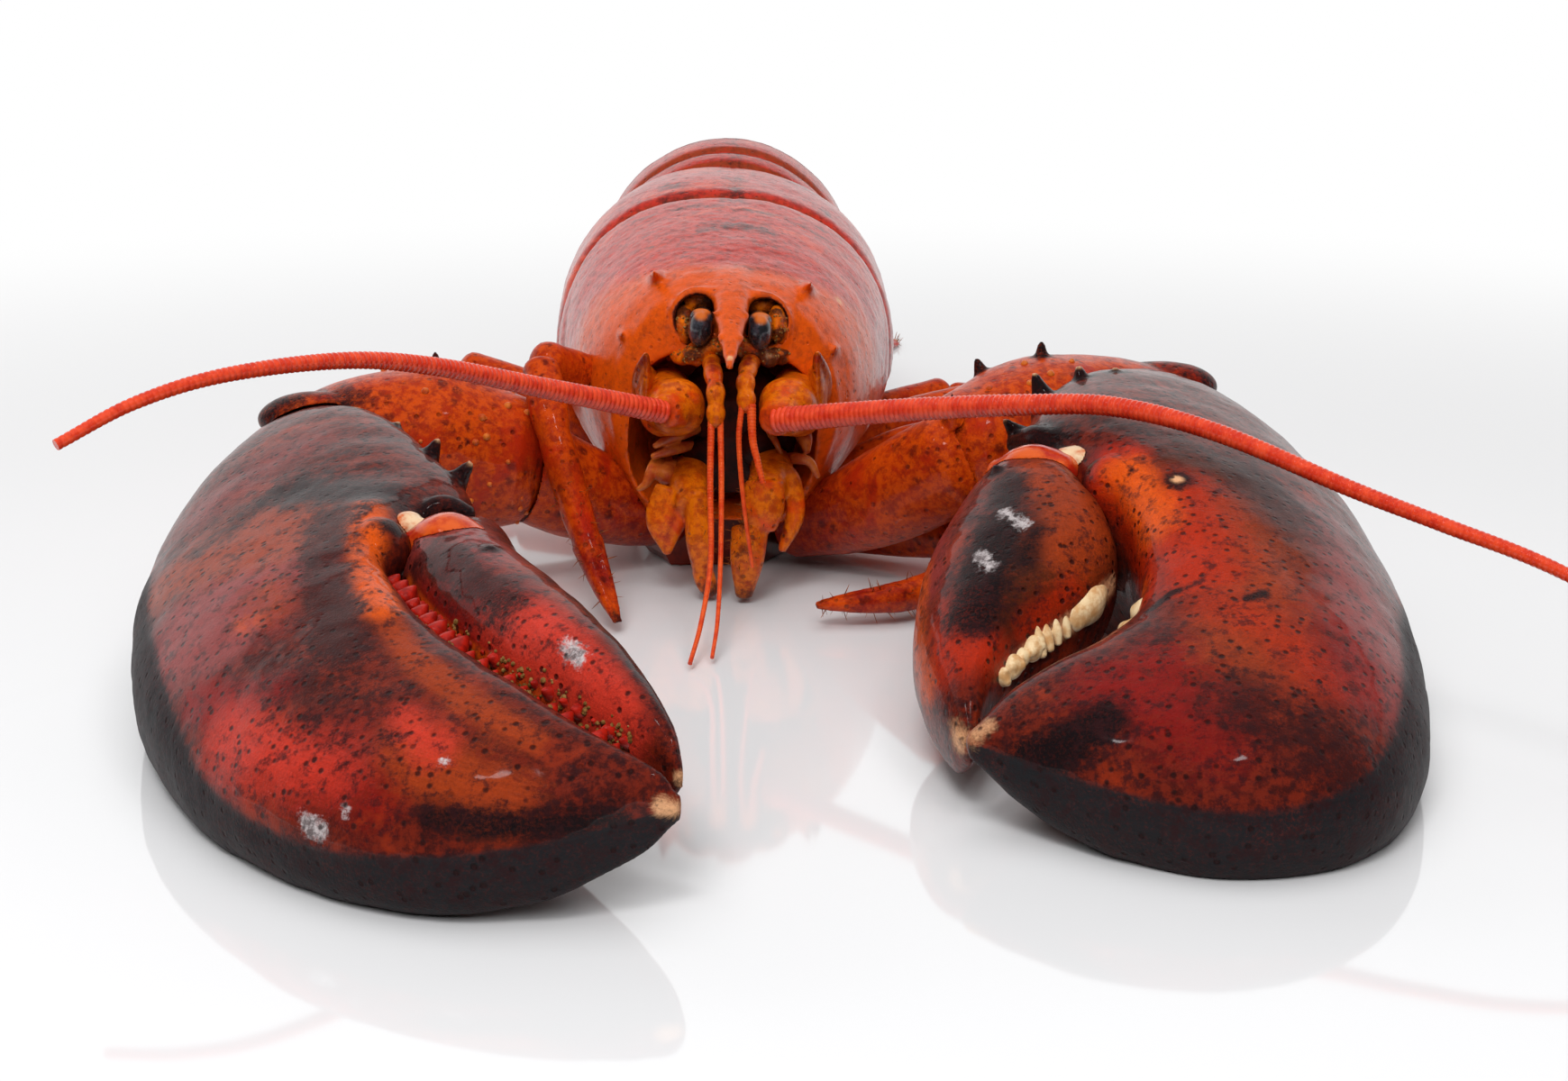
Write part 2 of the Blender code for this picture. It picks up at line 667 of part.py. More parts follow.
def arm(prefix, side, wrist_route, elbow_route, shell):
    """Wrist and elbow segments of a claw's arm, with their thorns."""
    wrist_radii = ((9.5, 10.5), (13.0, 13.5), (12.0, 12.0), (9.0, 9.0))
    wrist = limb(prefix + "_wrist", wrist_route, wrist_radii, shell, 12, 7, (0.6, 0.6))
    middle = np.array(wrist_route[1])
    end = np.array(wrist_route[-1])
    spots = (((0.0, 2.0, 11.0), (0.0, 0.8, 5.0)), ((-side * 9.0, 3.0, 9.0), (-side * 1.5, 1.0, 4.0)))
    joined = [thorn(middle + np.array(a), middle + np.array(a) + np.array(b), 1.9, shell) for a, b in spots]
    joined.append(ellipsoid("lobe", end + np.array((-side * 2.5, -0.5, 6.6)), (9.5, 5.0, 4.2), shell))
    combine(wrist, joined, "UNION")
    elbow_radii = ((5.0, 5.2), (6.5, 6.8), (7.5, 8.0), (7.5, 8.5))
    elbow = limb(prefix + "_arm", elbow_route, elbow_radii, shell, 10, 6, (0.5, 0.6))
    end = np.array(elbow_route[-1])
    foot, tip = end + np.array((-side * 1.0, -2.0, 8.0)), end + np.array((-side * 1.5, -3.5, 12.2))
    combine(elbow, [thorn(foot, tip, 1.8, shell)], "UNION")
    return wrist, elbow


# Walking legs: route of the upper part, then of the lower part down to its tip
LEGS = {
    "left_1": (((-12, -22, 12), (-22, -34, 29), (-29.5, -44, 35.5)),
               ((-30, -48, 35.2), (-27.4, -57, 26), (-22.8, -64, 12.5), (-17.5, -74, 1.6)), True),
    "left_2": (((-12, -13, 8), (-30, -12.5, 21), (-45, -12, 27)),
               ((-49, -12.5, 27), (-58, -15, 19), (-65, -20, 9), (-70, -25, 1.3)), True),
    "left_3": (((-12, 1, 8), (-28, 4, 15), (-43, 8, 18)),
               ((-47, 9, 17.5), (-57, 11, 13), (-66, 13.5, 6), (-73, 16, 1.1)), False),
    "left_4": (((-11, 15, 8), (-25, 23, 12.5), (-39, 31, 13.5)),
               ((-42.5, 33.5, 13), (-50, 40, 9.5), (-56, 46, 5), (-62, 53, 1.1)), False),
    "right_1": (((9, -30, 4), (22, -36, 5), (35, -44.5, 6.5)),
                ((38.5, -48, 6.8), (37, -60, 5.5), (26.6, -68.5, 4), (12.8, -71.5, 3.4)), True),
    "right_2": (((12, -14, 6), (30, -16, 14), (45, -18, 17)),
                ((49, -18.5, 16.5), (59, -19, 12), (68, -19, 6), (76, -20, 1.3)), True),
    "right_3": (((12, 1, 6), (29, 5, 13), (44, 9.5, 16)),
                ((48, 10.5, 15.5), (59, 13.5, 11), (69, 16, 5), (77, 18, 1.1)), False),
    "right_4": (((11, 15, 5.5), (26, 24, 10), (40, 32.5, 12)),
                ((43.5, 35, 11.5), (51, 41.5, 8.5), (58, 48.5, 4.5), (64, 56, 1.1)), False),
}


UPPER_LEG_RADII = ((3.0, 3.2), (3.0, 3.9), (3.1, 3.4))
PINCER_LEG_RADII = ((3.0, 3.0), (2.7, 2.8), (2.5, 2.9), (0.7, 0.8))
POINTED_LEG_RADII = ((2.8, 2.8), (2.3, 2.4), (1.7, 1.9), (0.5, 0.5))


def walking_leg(name, upper_route, lower_route, pincer, orange):
    """The two solids of a leg. A pincer tip is wider before it closes to its point."""
    upper = limb(f"leg_{name}_upper", upper_route, UPPER_LEG_RADII, orange, 7, 4, (0.4, 0.7))
    widths = PINCER_LEG_RADII if pincer else POINTED_LEG_RADII
    lower = limb(f"leg_{name}_lower", lower_route, widths, orange, 7, 7, (0.6, 0.5))
    return upper, lower


# Tail: length, pitch in degrees, half width and height of each ring at its rear
TAIL_RINGS = (
    (9.0, 0.0, 25.0, 36.0),
    (15.0, 0.0, 25.6, 37.0),
    (14.0, 8.0, 25.0, 35.6),
    (14.0, 16.0, 23.4, 31.5),
    (13.0, 24.0, 21.2, 27.0),
    (15.0, 22.0, 18.4, 18.5),
)
TAIL_START = (46.0, 20.0)  # y and z of the belly line where the tail leaves the carapace
TAIL_FRONT_STEP = 1.5  # how far each ring's front is tucked in below the rim ahead of it
TAIL_FRONT = (24.4, 34.4)  # half width and height where the tail leaves the carapace
UNROLLED_RING = 5  # the ring that lies level, past which the body's lean has died out


def tail_ring(name, start, pitch, sizes, before, roll, shell):
    """One ring of the tail, a solid arch whose side plates hang down to points."""
    length, half, height = sizes
    ahead = np.array((0.0, math.cos(pitch), -math.sin(pitch)))
    up = np.array((0.0, math.sin(pitch), math.cos(pitch)))
    across = np.array((1.0, 0.0, 0.0))
    front_half, front_height = before
    origin = np.array((0.0, start[0], start[1]))
    arch = 11
    rings = []
    for share, tuck in ((-0.3, 2.2), (0.2, TAIL_FRONT_STEP), (0.34, 0.2), (1.0, 0.0)):
        w = front_half + (half - front_half) * share - tuck
        h = front_height + (height - front_height) * share - tuck
        wide_level = 0.3 * h
        section = []
        for k in range(arch):
            angle = math.pi * k / (arch - 1)
            section.append((w * math.cos(angle), wide_level + (h - wide_level) * math.sin(angle), 0.0))
        plate = 3.0 + 6.5 * math.sin(math.pi * min(1.0, max(0.0, share))) ** 0.7
        section.append((-w * 0.97, wide_level * 0.35, 0.0))
        section.append((-w * 0.93, -plate * 0.75, 1.6))
        section.append((-w * 0.83, -plate * 0.7, 1.6))
        section.append((-w * 0.74, 0.0, 0.0))
        section.append((0.0, -0.6, 0.0))
        section.append((w * 0.74, 0.0, 0.0))
        section.append((w * 0.83, -plate * 0.7, 1.6))
        section.append((w * 0.93, -plate * 0.75, 1.6))
        section.append((w * 0.97, wide_level * 0.35, 0.0))
        rings.append([
            origin + across * x + up * z + ahead * (length * share + shift) for x, z, shift in section
        ])
    made = loft(name, rings, shell, flat_ends=True)
    return turned(made, body_lean(roll))


def tail(shell):
    """The six rings, from the carapace to the fan, and where the last one ends."""
    made = []
    y, z = TAIL_START
    before = TAIL_FRONT
    for i, (length, degrees, half, height) in enumerate(TAIL_RINGS):
        pitch = math.radians(degrees)
        roll = max(0.0, 1.0 - i / UNROLLED_RING)
        sizes = (length - GAP, half, height)
        made.append(tail_ring(f"tail_{i + 1}", (y, z), pitch, sizes, before, roll, shell))
        y += length * math.cos(pitch)
        z -= length * math.sin(pitch)
        before = (half, height)
    return made, (y, z)


LEAF_SECTION = ((-1.0, 0.0), (1.0, 0.0), (0.94, 0.62), (0.45, 0.95), (0.0, 1.0), (-0.45, 0.95), (-0.94, 0.62))


def fan_plate(name, root, angle, length, wide, low, thick, shell, narrow=0.55):
    """A leaf of the tail fan: a rounded plate lying on the table."""
    ahead = np.array((math.sin(angle), math.cos(angle), 0.0))
    across = np.array((math.cos(angle), -math.sin(angle), 0.0))
    root = np.array((root[0], root[1], 0.0))
    rings = []
    for i in range(8):
        share = i / 7
        half = wide * (narrow + (1 - narrow) * math.sin(0.5 * math.pi * min(1.0, share * 1.5)))
        if share > 0.62:
            half *= math.sqrt(max(0.0, 1 - ((share - 0.62) / 0.42) ** 2))
        crown = thick * (1.0 - 0.45 * share)
        middle = root + ahead * length * share + np.array((0, 0, low))
        section = []
        for x, z in LEAF_SECTION:
            section.append(middle + across * x * half + np.array((0, 0, z * crown)))
        rings.append(section)
    return loft(name, rings, shell)


def tail_fan(end, shell):
    y = end[0]
    made = [fan_plate("telson", (0.0, y + 0.6), 0.0, 31.0, 12.0, 3.9, 3.0, shell, 0.8)]
    for side, word in zip(SIDES, ("left", "right")):
        inner, outer = (side * 8.5, y - 1.0), (side * 12.0, y - 3.0)
        narrow_turn, wide_turn = side * math.radians(20), side * math.radians(46)
        made.append(fan_plate(f"fan_inner_{word}", inner, narrow_turn, 33.0, 9.6, 2.0, 1.5, shell))
        made.append(fan_plate(f"fan_outer_{word}", outer, wide_turn, 34.0, 10.2, 0.0, 1.6, shell))
    return made


def lobster():
    remove_all_objects()
    shell = finish("shell", SHELL_RED, 0.28)
    dark = finish("claw_shell", SHELL_DARK, 0.3)
    orange = finish("limb_shell", SHELL_ORANGE, 0.32)
    red = finish("antenna", ANTENNA_RED, 0.35)
    black = finish("eye", EYE_BLACK, 0.2)

    body = [turned(made, body_lean()) for made in (breastplate(shell), carapace(shell))]
    eyes = [
        turned(eye(f"eye_{word}", side, black), body_lean()) for side, word in zip(SIDES, ("left", "right"))
    ]

    crusher = palm("crusher_palm", CRUSHER_PALM, CRUSHER_THORNS, CRUSHER_KNOB,
                   teeth_on(CRUSHER_PALM, (6, 9), CRUSHER_MOLARS, 3.4, (-1, 1, 0.2), dark), dark)
    crusher_finger = finger("crusher_finger", CRUSHER_FINGER,
                            teeth_on(CRUSHER_FINGER, (2, 5), CRUSHER_MOLARS, 3.4, (1, -1, 0), dark), dark)
    cutter = palm("cutter_palm", CUTTER_PALM, CUTTER_THORNS, CUTTER_KNOB,
                  teeth_on(CUTTER_PALM, (5, 9), CUTTER_TEETH, 1.4, (1, 1, 0.2), dark), dark)
    cutter_finger = finger("cutter_finger", CUTTER_FINGER,
                           teeth_on(CUTTER_FINGER, (2, 5), CUTTER_TEETH, 1.4, (-1, -1, 0.2), dark), dark)
    arms = [
        *arm("crusher", 1, ((37, -51, 21.5), (50, -42.5, 22), (62, -37, 22.5), (73, -33, 22)),
             ((10, -38, 6.5), (18, -43, 10), (27, -49, 15.5), (35.5, -54, 21.5)), orange),
        *arm("cutter", -1, ((-35, -48, 20.5), (-47, -47.5, 22), (-58, -50, 23), (-67, -54, 22.5)),
             ((-10, -35, 8), (-18, -39, 10.5), (-27, -43.5, 15), (-33, -46.5, 19)), orange),
    ]
    legs = []
    for name, (upper_route, lower_route, pincer) in LEGS.items():
        legs += walking_leg(name, upper_route, lower_route, pincer, orange)
    rings, end = tail(shell)
    fan = tail_fan(end, shell)

    left_end, right_end = LEFT_WHIP[0], RIGHT_WHIP[0]
    roots = [feeler_base("antenna_root_left", -1, orange, left_end),
             feeler_base("antenna_root_right", 1, orange, right_end)]
    whips = [whip("antenna_left", LEFT_WHIP, WHIP_THIN_LEFT, 20, red),
             whip("antenna_right", RIGHT_WHIP, WHIP_THIN_RIGHT, 28, red)]
    scales = [feeler_scale("antenna_scale_left", -1, orange), feeler_scale("antenna_scale_right", 1, orange)]
    feelers = [small_feelers(name, orange) for name in SMALL_FEELERS]
    jaws = [jaw_leg(name, orange) for name in JAW_LEGS]
    face = [*whips, *roots, *eyes, *scales, *feelers, *jaws, mouth(orange)]

    wrists_then_arms = [arms[0], arms[2], arms[1], arms[3]]
    pieces = [*body, crusher, cutter, crusher_finger, cutter_finger, *face, *wrists_then_arms, *legs, *rings, *fan]
    for piece in pieces:
        stand_on_floor(piece)
    carve_in_order(pieces)


if __name__ == "__main__":
    lobster()
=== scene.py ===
import math
import time

import bmesh
import bpy
import numpy as np
from mathutils import Matrix, Vector


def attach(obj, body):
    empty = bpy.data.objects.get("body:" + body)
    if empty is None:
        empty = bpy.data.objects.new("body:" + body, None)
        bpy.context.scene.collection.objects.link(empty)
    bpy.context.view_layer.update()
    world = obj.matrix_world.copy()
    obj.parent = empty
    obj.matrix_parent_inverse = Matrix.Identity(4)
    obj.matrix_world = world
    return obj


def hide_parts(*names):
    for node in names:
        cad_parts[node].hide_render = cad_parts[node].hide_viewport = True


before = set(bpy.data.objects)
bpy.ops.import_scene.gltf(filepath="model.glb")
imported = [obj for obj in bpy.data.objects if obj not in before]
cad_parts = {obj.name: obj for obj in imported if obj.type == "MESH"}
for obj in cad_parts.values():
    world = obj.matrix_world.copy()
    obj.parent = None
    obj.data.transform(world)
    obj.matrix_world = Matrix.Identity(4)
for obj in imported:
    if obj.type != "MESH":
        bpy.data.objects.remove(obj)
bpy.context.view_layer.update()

mm = 0.001  # every table is in millimetres
scene = bpy.context.scene
started = time.time()


def stage(words):
    print(f"{time.time() - started:6.1f} s  {words}")


# Curves and noise

def through(points, count):  # even places along a smooth curve through the points
    p = np.array(points, float)
    ends = np.vstack([2 * p[0] - p[1], p, 2 * p[-1] - p[-2]])
    fine = []
    for a, b, c, d in zip(ends[:-3], ends[1:-2], ends[2:-1], ends[3:]):
        for t in np.linspace(0, 1, 24, endpoint=False):
            fine.append(spline(a, b, c, d, t))
    fine = np.array(fine + [p[-1]])
    length = np.concatenate([[0.0], np.cumsum(np.linalg.norm(np.diff(fine, axis=0), axis=1))])
    wanted = np.linspace(0, length[-1], count)
    return np.stack([np.interp(wanted, length, fine[:, k]) for k in range(p.shape[1])], axis=1)


def spline(a, b, c, d, t):
    bend = 2 * a - 5 * b + 4 * c - d
    return 0.5 * (2 * b + (c - a) * t + bend * t * t + (3 * b - a - 3 * c + d) * t ** 3)


def stations(table, count):  # a table read smoothly at even steps of its row number
    rows = np.array(table, float)
    ends = np.vstack([2 * rows[0] - rows[1], rows, 2 * rows[-1] - rows[-2]])
    made = []
    for place in np.linspace(0, len(rows) - 1, count):
        i = min(int(place), len(rows) - 2)
        made.append(spline(*ends[i:i + 4], place - i))
    return np.array(made)


def swell(points, size, seed=0):  # smooth random values from -1 to 1, about size mm apart
    p = points / size + seed * 17.31
    cell = np.floor(p).astype(np.int64)
    f = p - cell
    f = f * f * (3 - 2 * f)
    total = np.zeros(len(p))
    for corner in np.ndindex(2, 2, 2):
        c = cell + np.array(corner)
        h = c[:, 0] * 374761393 + c[:, 1] * 668265263 + c[:, 2] * 1440662683 + seed * 7919
        h = (h ^ (h >> 13)) * 1274126177
        value = ((h ^ (h >> 16)) & 0xFFFF) / 32767.5 - 1
        weight = np.prod(np.where(np.array(corner) == 1, f, 1 - f), axis=1)
        total += weight * value
    return total


def smoothStep(values, low, high):
    t = np.clip((values - low) / (high - low), 0, 1)
    return t * t * (3 - 2 * t)


def distanceTo(points, path):  # from each point to a polyline
    path = np.array(path, float)
    if len(path) == 1:
        return np.linalg.norm(points - path[0], axis=1)
    path = through(path, 3 * len(path))
    nearest = np.full(len(points), 1e9)
    for start, end in zip(path[:-1], path[1:]):
        span = end - start
        share = np.clip((points - start) @ span / (span @ span), 0, 1)
        nearest = np.minimum(nearest, np.linalg.norm(points - start - share[:, None] * span, axis=1))
    return nearest


# Skins: each is (points, faces) in millimetres, closed

def rounded(value, exponent):
    return math.copysign(abs(value) ** (2 / exponent), value)


def hoop(centre, side, up, sides, exponent=2.0, drop=1.0):
    made = []
    for k in range(sides):
        angle = 2 * math.pi * k / sides
        c, s = rounded(math.cos(angle), exponent), rounded(math.sin(angle), exponent)
        made.append(centre + side * c + up * (s if s > 0 else s * drop))
    return made


def skinOver(hoops):
    sides = len(hoops[0])
    points = [p for one in hoops for p in one]
    faces = []
    for i in range(len(hoops) - 1):
        for k in range(sides):
            n = (k + 1) % sides
            faces.append((i * sides + k, i * sides + n, (i + 1) * sides + n, (i + 1) * sides + k))
    for i in (0, len(hoops) - 1):
        points.append(np.mean(hoops[i], axis=0))
        hub = len(points) - 1
        faces += [(i * sides + k, i * sides + (k + 1) % sides, hub) for k in range(sides)]
    return np.array(points, float), faces


def domed(hoops, first, last, steps=4):  # round caps of the given heights
    made = list(hoops)
    for height, end in ((first, 0), (last, -1)):
        edge = np.array(hoops[end])
        inner = np.array(hoops[1 if end == 0 else -2])
        centre = edge.mean(axis=0)
        outward = centre - inner.mean(axis=0)
        outward = outward / np.linalg.norm(outward)
        for s in range(1, steps + 1):
            angle = 0.5 * math.pi * s / (steps + 0.3)
            cap = centre + (edge - centre) * math.cos(angle) + outward * height * math.sin(angle)
            if end == 0:
                made.insert(0, list(cap))
            else:
                made.append(list(cap))
    return made


def tube(route, radii, sides=20, count=30, dome=(0.8, 0.8), exponent=2.2):
    line = through(route, count)
    sizes = stations(radii, count)
    hoops = []
    for i in range(count):
        ahead = line[min(i + 1, count - 1)] - line[max(i - 1, 0)]
        ahead = ahead / np.linalg.norm(ahead)
        side = np.cross(ahead, (0, 0, 1))
        if np.linalg.norm(side) < 0.2:
            side = np.cross(ahead, (0, 1, 0))
        side = side / np.linalg.norm(side)
        up = np.cross(side, ahead)
        hoops.append(hoop(line[i], side * sizes[i][0], up * sizes[i][1], sides, exponent))
    return skinOver(domed(hoops, dome[0] * min(sizes[0]), dome[1] * min(sizes[-1])))


def bladeSkin(rows, exponent=2.3):
    hoops = []
    for row in stations(rows, 70):
        inner, outer, above, below = row[:3], row[3:6], row[6], row[7]
        hoops.append(hoop((inner + outer) / 2, (outer - inner) / 2, np.array((0, 0, above)), 48, exponent,
                          below / above))
    return skinOver(domed(hoops, 3.0, 1.0))


def leafSkin(route, sizes, way):  # a flat strip whose width lies along way
    count = 24
    line = through(route, count)
    hoops = []
    for i, (half, thick) in enumerate(stations(sizes, count)):
        ahead = line[min(i + 1, count - 1)] - line[max(i - 1, 0)]
        ahead = ahead / np.linalg.norm(ahead)
        across = np.array(way, float) - np.dot(way, ahead) * ahead
        across = across / np.linalg.norm(across)
        hoops.append(hoop(line[i], across * half, np.cross(across, ahead) * thick, 24, 2.4))
    return skinOver(domed(hoops, 0.6, 0.5))


def pebble(centre, radii, across=20, along=14):
    hoops = []
    for i in range(1, along):
        angle = math.pi * i / along
        middle = np.array(centre, float) + np.array((0, 0, -radii[2] * math.cos(angle)))
        wide = math.sin(angle)
        hoops.append(hoop(middle, np.array((radii[0] * wide, 0, 0)), np.array((0, radii[1] * wide, 0)),
                          across))
    return skinOver(hoops)


def spike(base, tip, radius, sides=16):  # a blunt thorn with a spreading foot
    base, tip = np.array(base, float), np.array(tip, float)
    ahead = (tip - base) / np.linalg.norm(tip - base)
    side = np.cross(ahead, (0.3, 0.9, 0.1))
    side = side / np.linalg.norm(side)
    up = np.cross(side, ahead)
    profile = ((-0.35, 1.3), (-0.05, 1.12), (0.2, 0.86), (0.45, 0.62), (0.7, 0.42), (0.88, 0.28),
               (0.97, 0.16))
    return skinOver([
        hoop(base + (tip - base) * share, side * radius * wide, up * radius * wide, sides)
        for share, wide in profile
    ])


# Meshes

def meshFrom(name, skins):
    mesh = bpy.data.meshes.new(name)
    points, faces = [], []
    for skin, ring in skins:
        faces += [tuple(k + len(points) for k in face) for face in ring]
        points += [tuple(p * mm) for p in skin]
    mesh.from_pydata(points, [], faces)
    work = bmesh.new()
    work.from_mesh(mesh)
    bmesh.ops.recalc_face_normals(work, faces=work.faces)
    work.to_mesh(mesh)
    work.free()
    obj = bpy.data.objects.new(name, mesh)
    scene.collection.objects.link(obj)
    return obj


def settle(obj):  # modifiers become plain mesh
    bpy.context.view_layer.update()
    graph = bpy.context.evaluated_depsgraph_get()
    mesh = bpy.data.meshes.new_from_object(obj.evaluated_get(graph))
    obj.modifiers.clear()
    obj.data = mesh
    mesh.shade_smooth()
    return obj


def remould(obj, voxel, rounds):
    remesh = obj.modifiers.new("remesh", "REMESH")
    remesh.mode = "VOXEL"
    remesh.voxel_size = voxel * mm
    soften = obj.modifiers.new("soften", "SMOOTH")
    soften.factor = 0.5
    soften.iterations = rounds
    return settle(obj)


def clay(name, skins, voxel=0.5, rounds=3):  # overlapping skins worked into one smooth skin
    return remould(meshFrom(name, skins), voxel, rounds)


def placesOf(obj):
    flat = np.empty(len(obj.data.vertices) * 3)
    obj.data.vertices.foreach_get("co", flat)
    return flat.reshape(-1, 3) / mm


def normalsOf(obj):
    flat = np.empty(len(obj.data.vertices) * 3)
    obj.data.vertices.foreach_get("normal", flat)
    return flat.reshape(-1, 3)


def setPlaces(obj, places):
    obj.data.vertices.foreach_set("co", (places * mm).ravel())
    obj.data.update()


def relief(obj, heights):  # heights in mm along the normals, then flat where it meets the table
    places = placesOf(obj) + normalsOf(obj) * heights[:, None]
    places[:, 2] = np.maximum(places[:, 2], 0.0)
    setPlaces(obj, places)


def keepAttribute(obj, name, values, kind="FLOAT"):
    old = obj.data.attributes.get(name)  # a carved piece takes over its neighbour's paint
    if old:
        obj.data.attributes.remove(old)
    made = obj.data.attributes.new(name, kind, "POINT")
    made.data.foreach_set("value" if kind == "FLOAT" else "vector", np.ascontiguousarray(values).ravel())


def brushed(places, strokes):  # a soft mask from brush strokes, each (path, reach) or (path, reach, strength)
    mask = np.zeros(len(places))
    for path, reach, *strength in strokes:
        share = np.exp(-0.7 * (distanceTo(places, path) / reach) ** 2)
        mask = np.maximum(mask, share * (strength[0] if strength else 1.0))
    return mask


def paint(obj, layers, flow=None):
    places = placesOf(obj)
    for name in (*shellPaints, "matte"):
        strokes = layers.get(name, ())
        keepAttribute(obj, name, strokes if isinstance(strokes, np.ndarray) else brushed(places, strokes))
    keepAttribute(obj, "flow", places if flow is None else flow, "FLOAT_VECTOR")


def carve(obj, others, gap=0.42):  # cuts obj back from its neighbours
    for other in others:
        cutter = bpy.data.objects.new("cutter", other.data.copy())
        scene.collection.objects.link(cutter)
        setPlaces(cutter, placesOf(other) + normalsOf(other) * gap)
        cut = obj.modifiers.new("cut", "BOOLEAN")
        cut.operation = "DIFFERENCE"
        cut.solver = "MANIFOLD"
        cut.object = cutter
        settle(obj)
        bpy.data.objects.remove(cutter)


def carveWith(obj, skins):
    tool = clay("tool", skins, 0.6, 1)
    carve(obj, [tool], 0.0)
    bpy.data.objects.remove(tool)


def turn(obj, matrix):
    obj.data.transform(matrix)
    obj.data.update()


leanDegrees, leanHeight = 4, 45


def bodyLean(share=1.0):  # the body rolls a little towards the crusher claw
    centre = Vector((0, 0, leanHeight)) * mm
    roll = Matrix.Rotation(math.radians(leanDegrees * share), 4, "Y")
    return Matrix.Translation(centre) @ roll @ Matrix.Translation(-centre)


def finishPiece(obj, material, nodes=()):
    obj.data.materials.clear()
    obj.data.materials.append(material)
    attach(obj, "root")
    if nodes:
        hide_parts(*nodes)
    return obj


# Materials

def srgb(r, g, b):
    def linear(v):
        v /= 255
        return v / 12.92 if v <= 0.04045 else ((v + 0.055) / 1.055) ** 2.4
    return (linear(r), linear(g), linear(b), 1.0)


def add(tree, kind, feeds=None, **settings):
    made = tree.nodes.new(kind)
    for key, value in settings.items():
        setattr(made, key, value)
    for place, value in (feeds or {}).items():
        if isinstance(value, bpy.types.NodeSocket):
            tree.links.new(value, made.inputs[place])
        else:
            made.inputs[place].default_value = value
    return made


def maths(tree, operation, a, b=0.0, clamp=False):
    return add(tree, "ShaderNodeMath", {0: a, 1: b}, operation=operation, use_clamp=clamp).outputs[0]


def product(tree, *values):
    total = values[0]
    for value in values[1:]:
        total = maths(tree, "MULTIPLY", total, value)
    return total


def weighted(tree, base, *parts, clamp=False):  # the base plus each value times its weight
    total = base
    for value, weight in parts:
        total = maths(tree, "ADD", maths(tree, "MULTIPLY", value, weight), total, clamp)
    return total


def mixed(tree, share, under, over):
    return add(tree, "ShaderNodeMix", {0: share, 6: under, 7: over}, data_type="RGBA").outputs[2]


def softened(tree, value, low, high):
    return add(tree, "ShaderNodeMapRange", {0: value, 1: low, 2: high},
               interpolation_type="SMOOTHSTEP").outputs[0]


def noise(tree, place, scale, detail=4, roughness=0.6, distortion=0.0):
    return add(tree, "ShaderNodeTexNoise", {
        "Vector": place, "Scale": scale, "Detail": detail, "Roughness": roughness, "Distortion": distortion,
    }).outputs[0]


def stretched(tree, place, scale):
    return add(tree, "ShaderNodeMapping", {"Vector": place, "Scale": scale}).outputs[0]


def attribute(tree, name, output="Fac"):
    return add(tree, "ShaderNodeAttribute", attribute_name=name, attribute_type="GEOMETRY").outputs[output]


def blankMaterial(name):
    made = bpy.data.materials.new(name)
    made.use_nodes = True
    return made, made.node_tree, made.node_tree.nodes["Principled BSDF"]


def millimetres(tree):
    place = add(tree, "ShaderNodeTexCoord").outputs["Object"]
    return add(tree, "ShaderNodeVectorMath", {0: place, "Scale": 1 / mm}, operation="SCALE").outputs[0]


# Every paint that a shell can carry, from the lowest to the highest: its colour and how ragged its edge is
shellPaints = {
    "plum": (srgb(140, 52, 50), 0.45),
    # deep red bands of the shell; over the roots of arms, legs and jaws it is painted shade
    "wine": (srgb(128, 16, 12), 0.60),
    "umber": (srgb(72, 32, 16), 0.90),
    "rust": (srgb(150, 54, 18), 1.00),
    "ember": (srgb(176, 40, 10), 0.55),
    "blaze": (srgb(218, 84, 10), 0.50),
    "coral": (srgb(196, 52, 36), 0.55),
    "dusk": (srgb(56, 20, 18), 1.00),
    "soot": (srgb(20, 14, 16), 0.80),
    "margin": (srgb(30, 30, 33), 0.40),
    "horn": (srgb(226, 168, 122), 0.70),
    # pale worn scuffs, partly painted white glints of gloss
    "scuff": (srgb(196, 186, 186), 1.90),
}


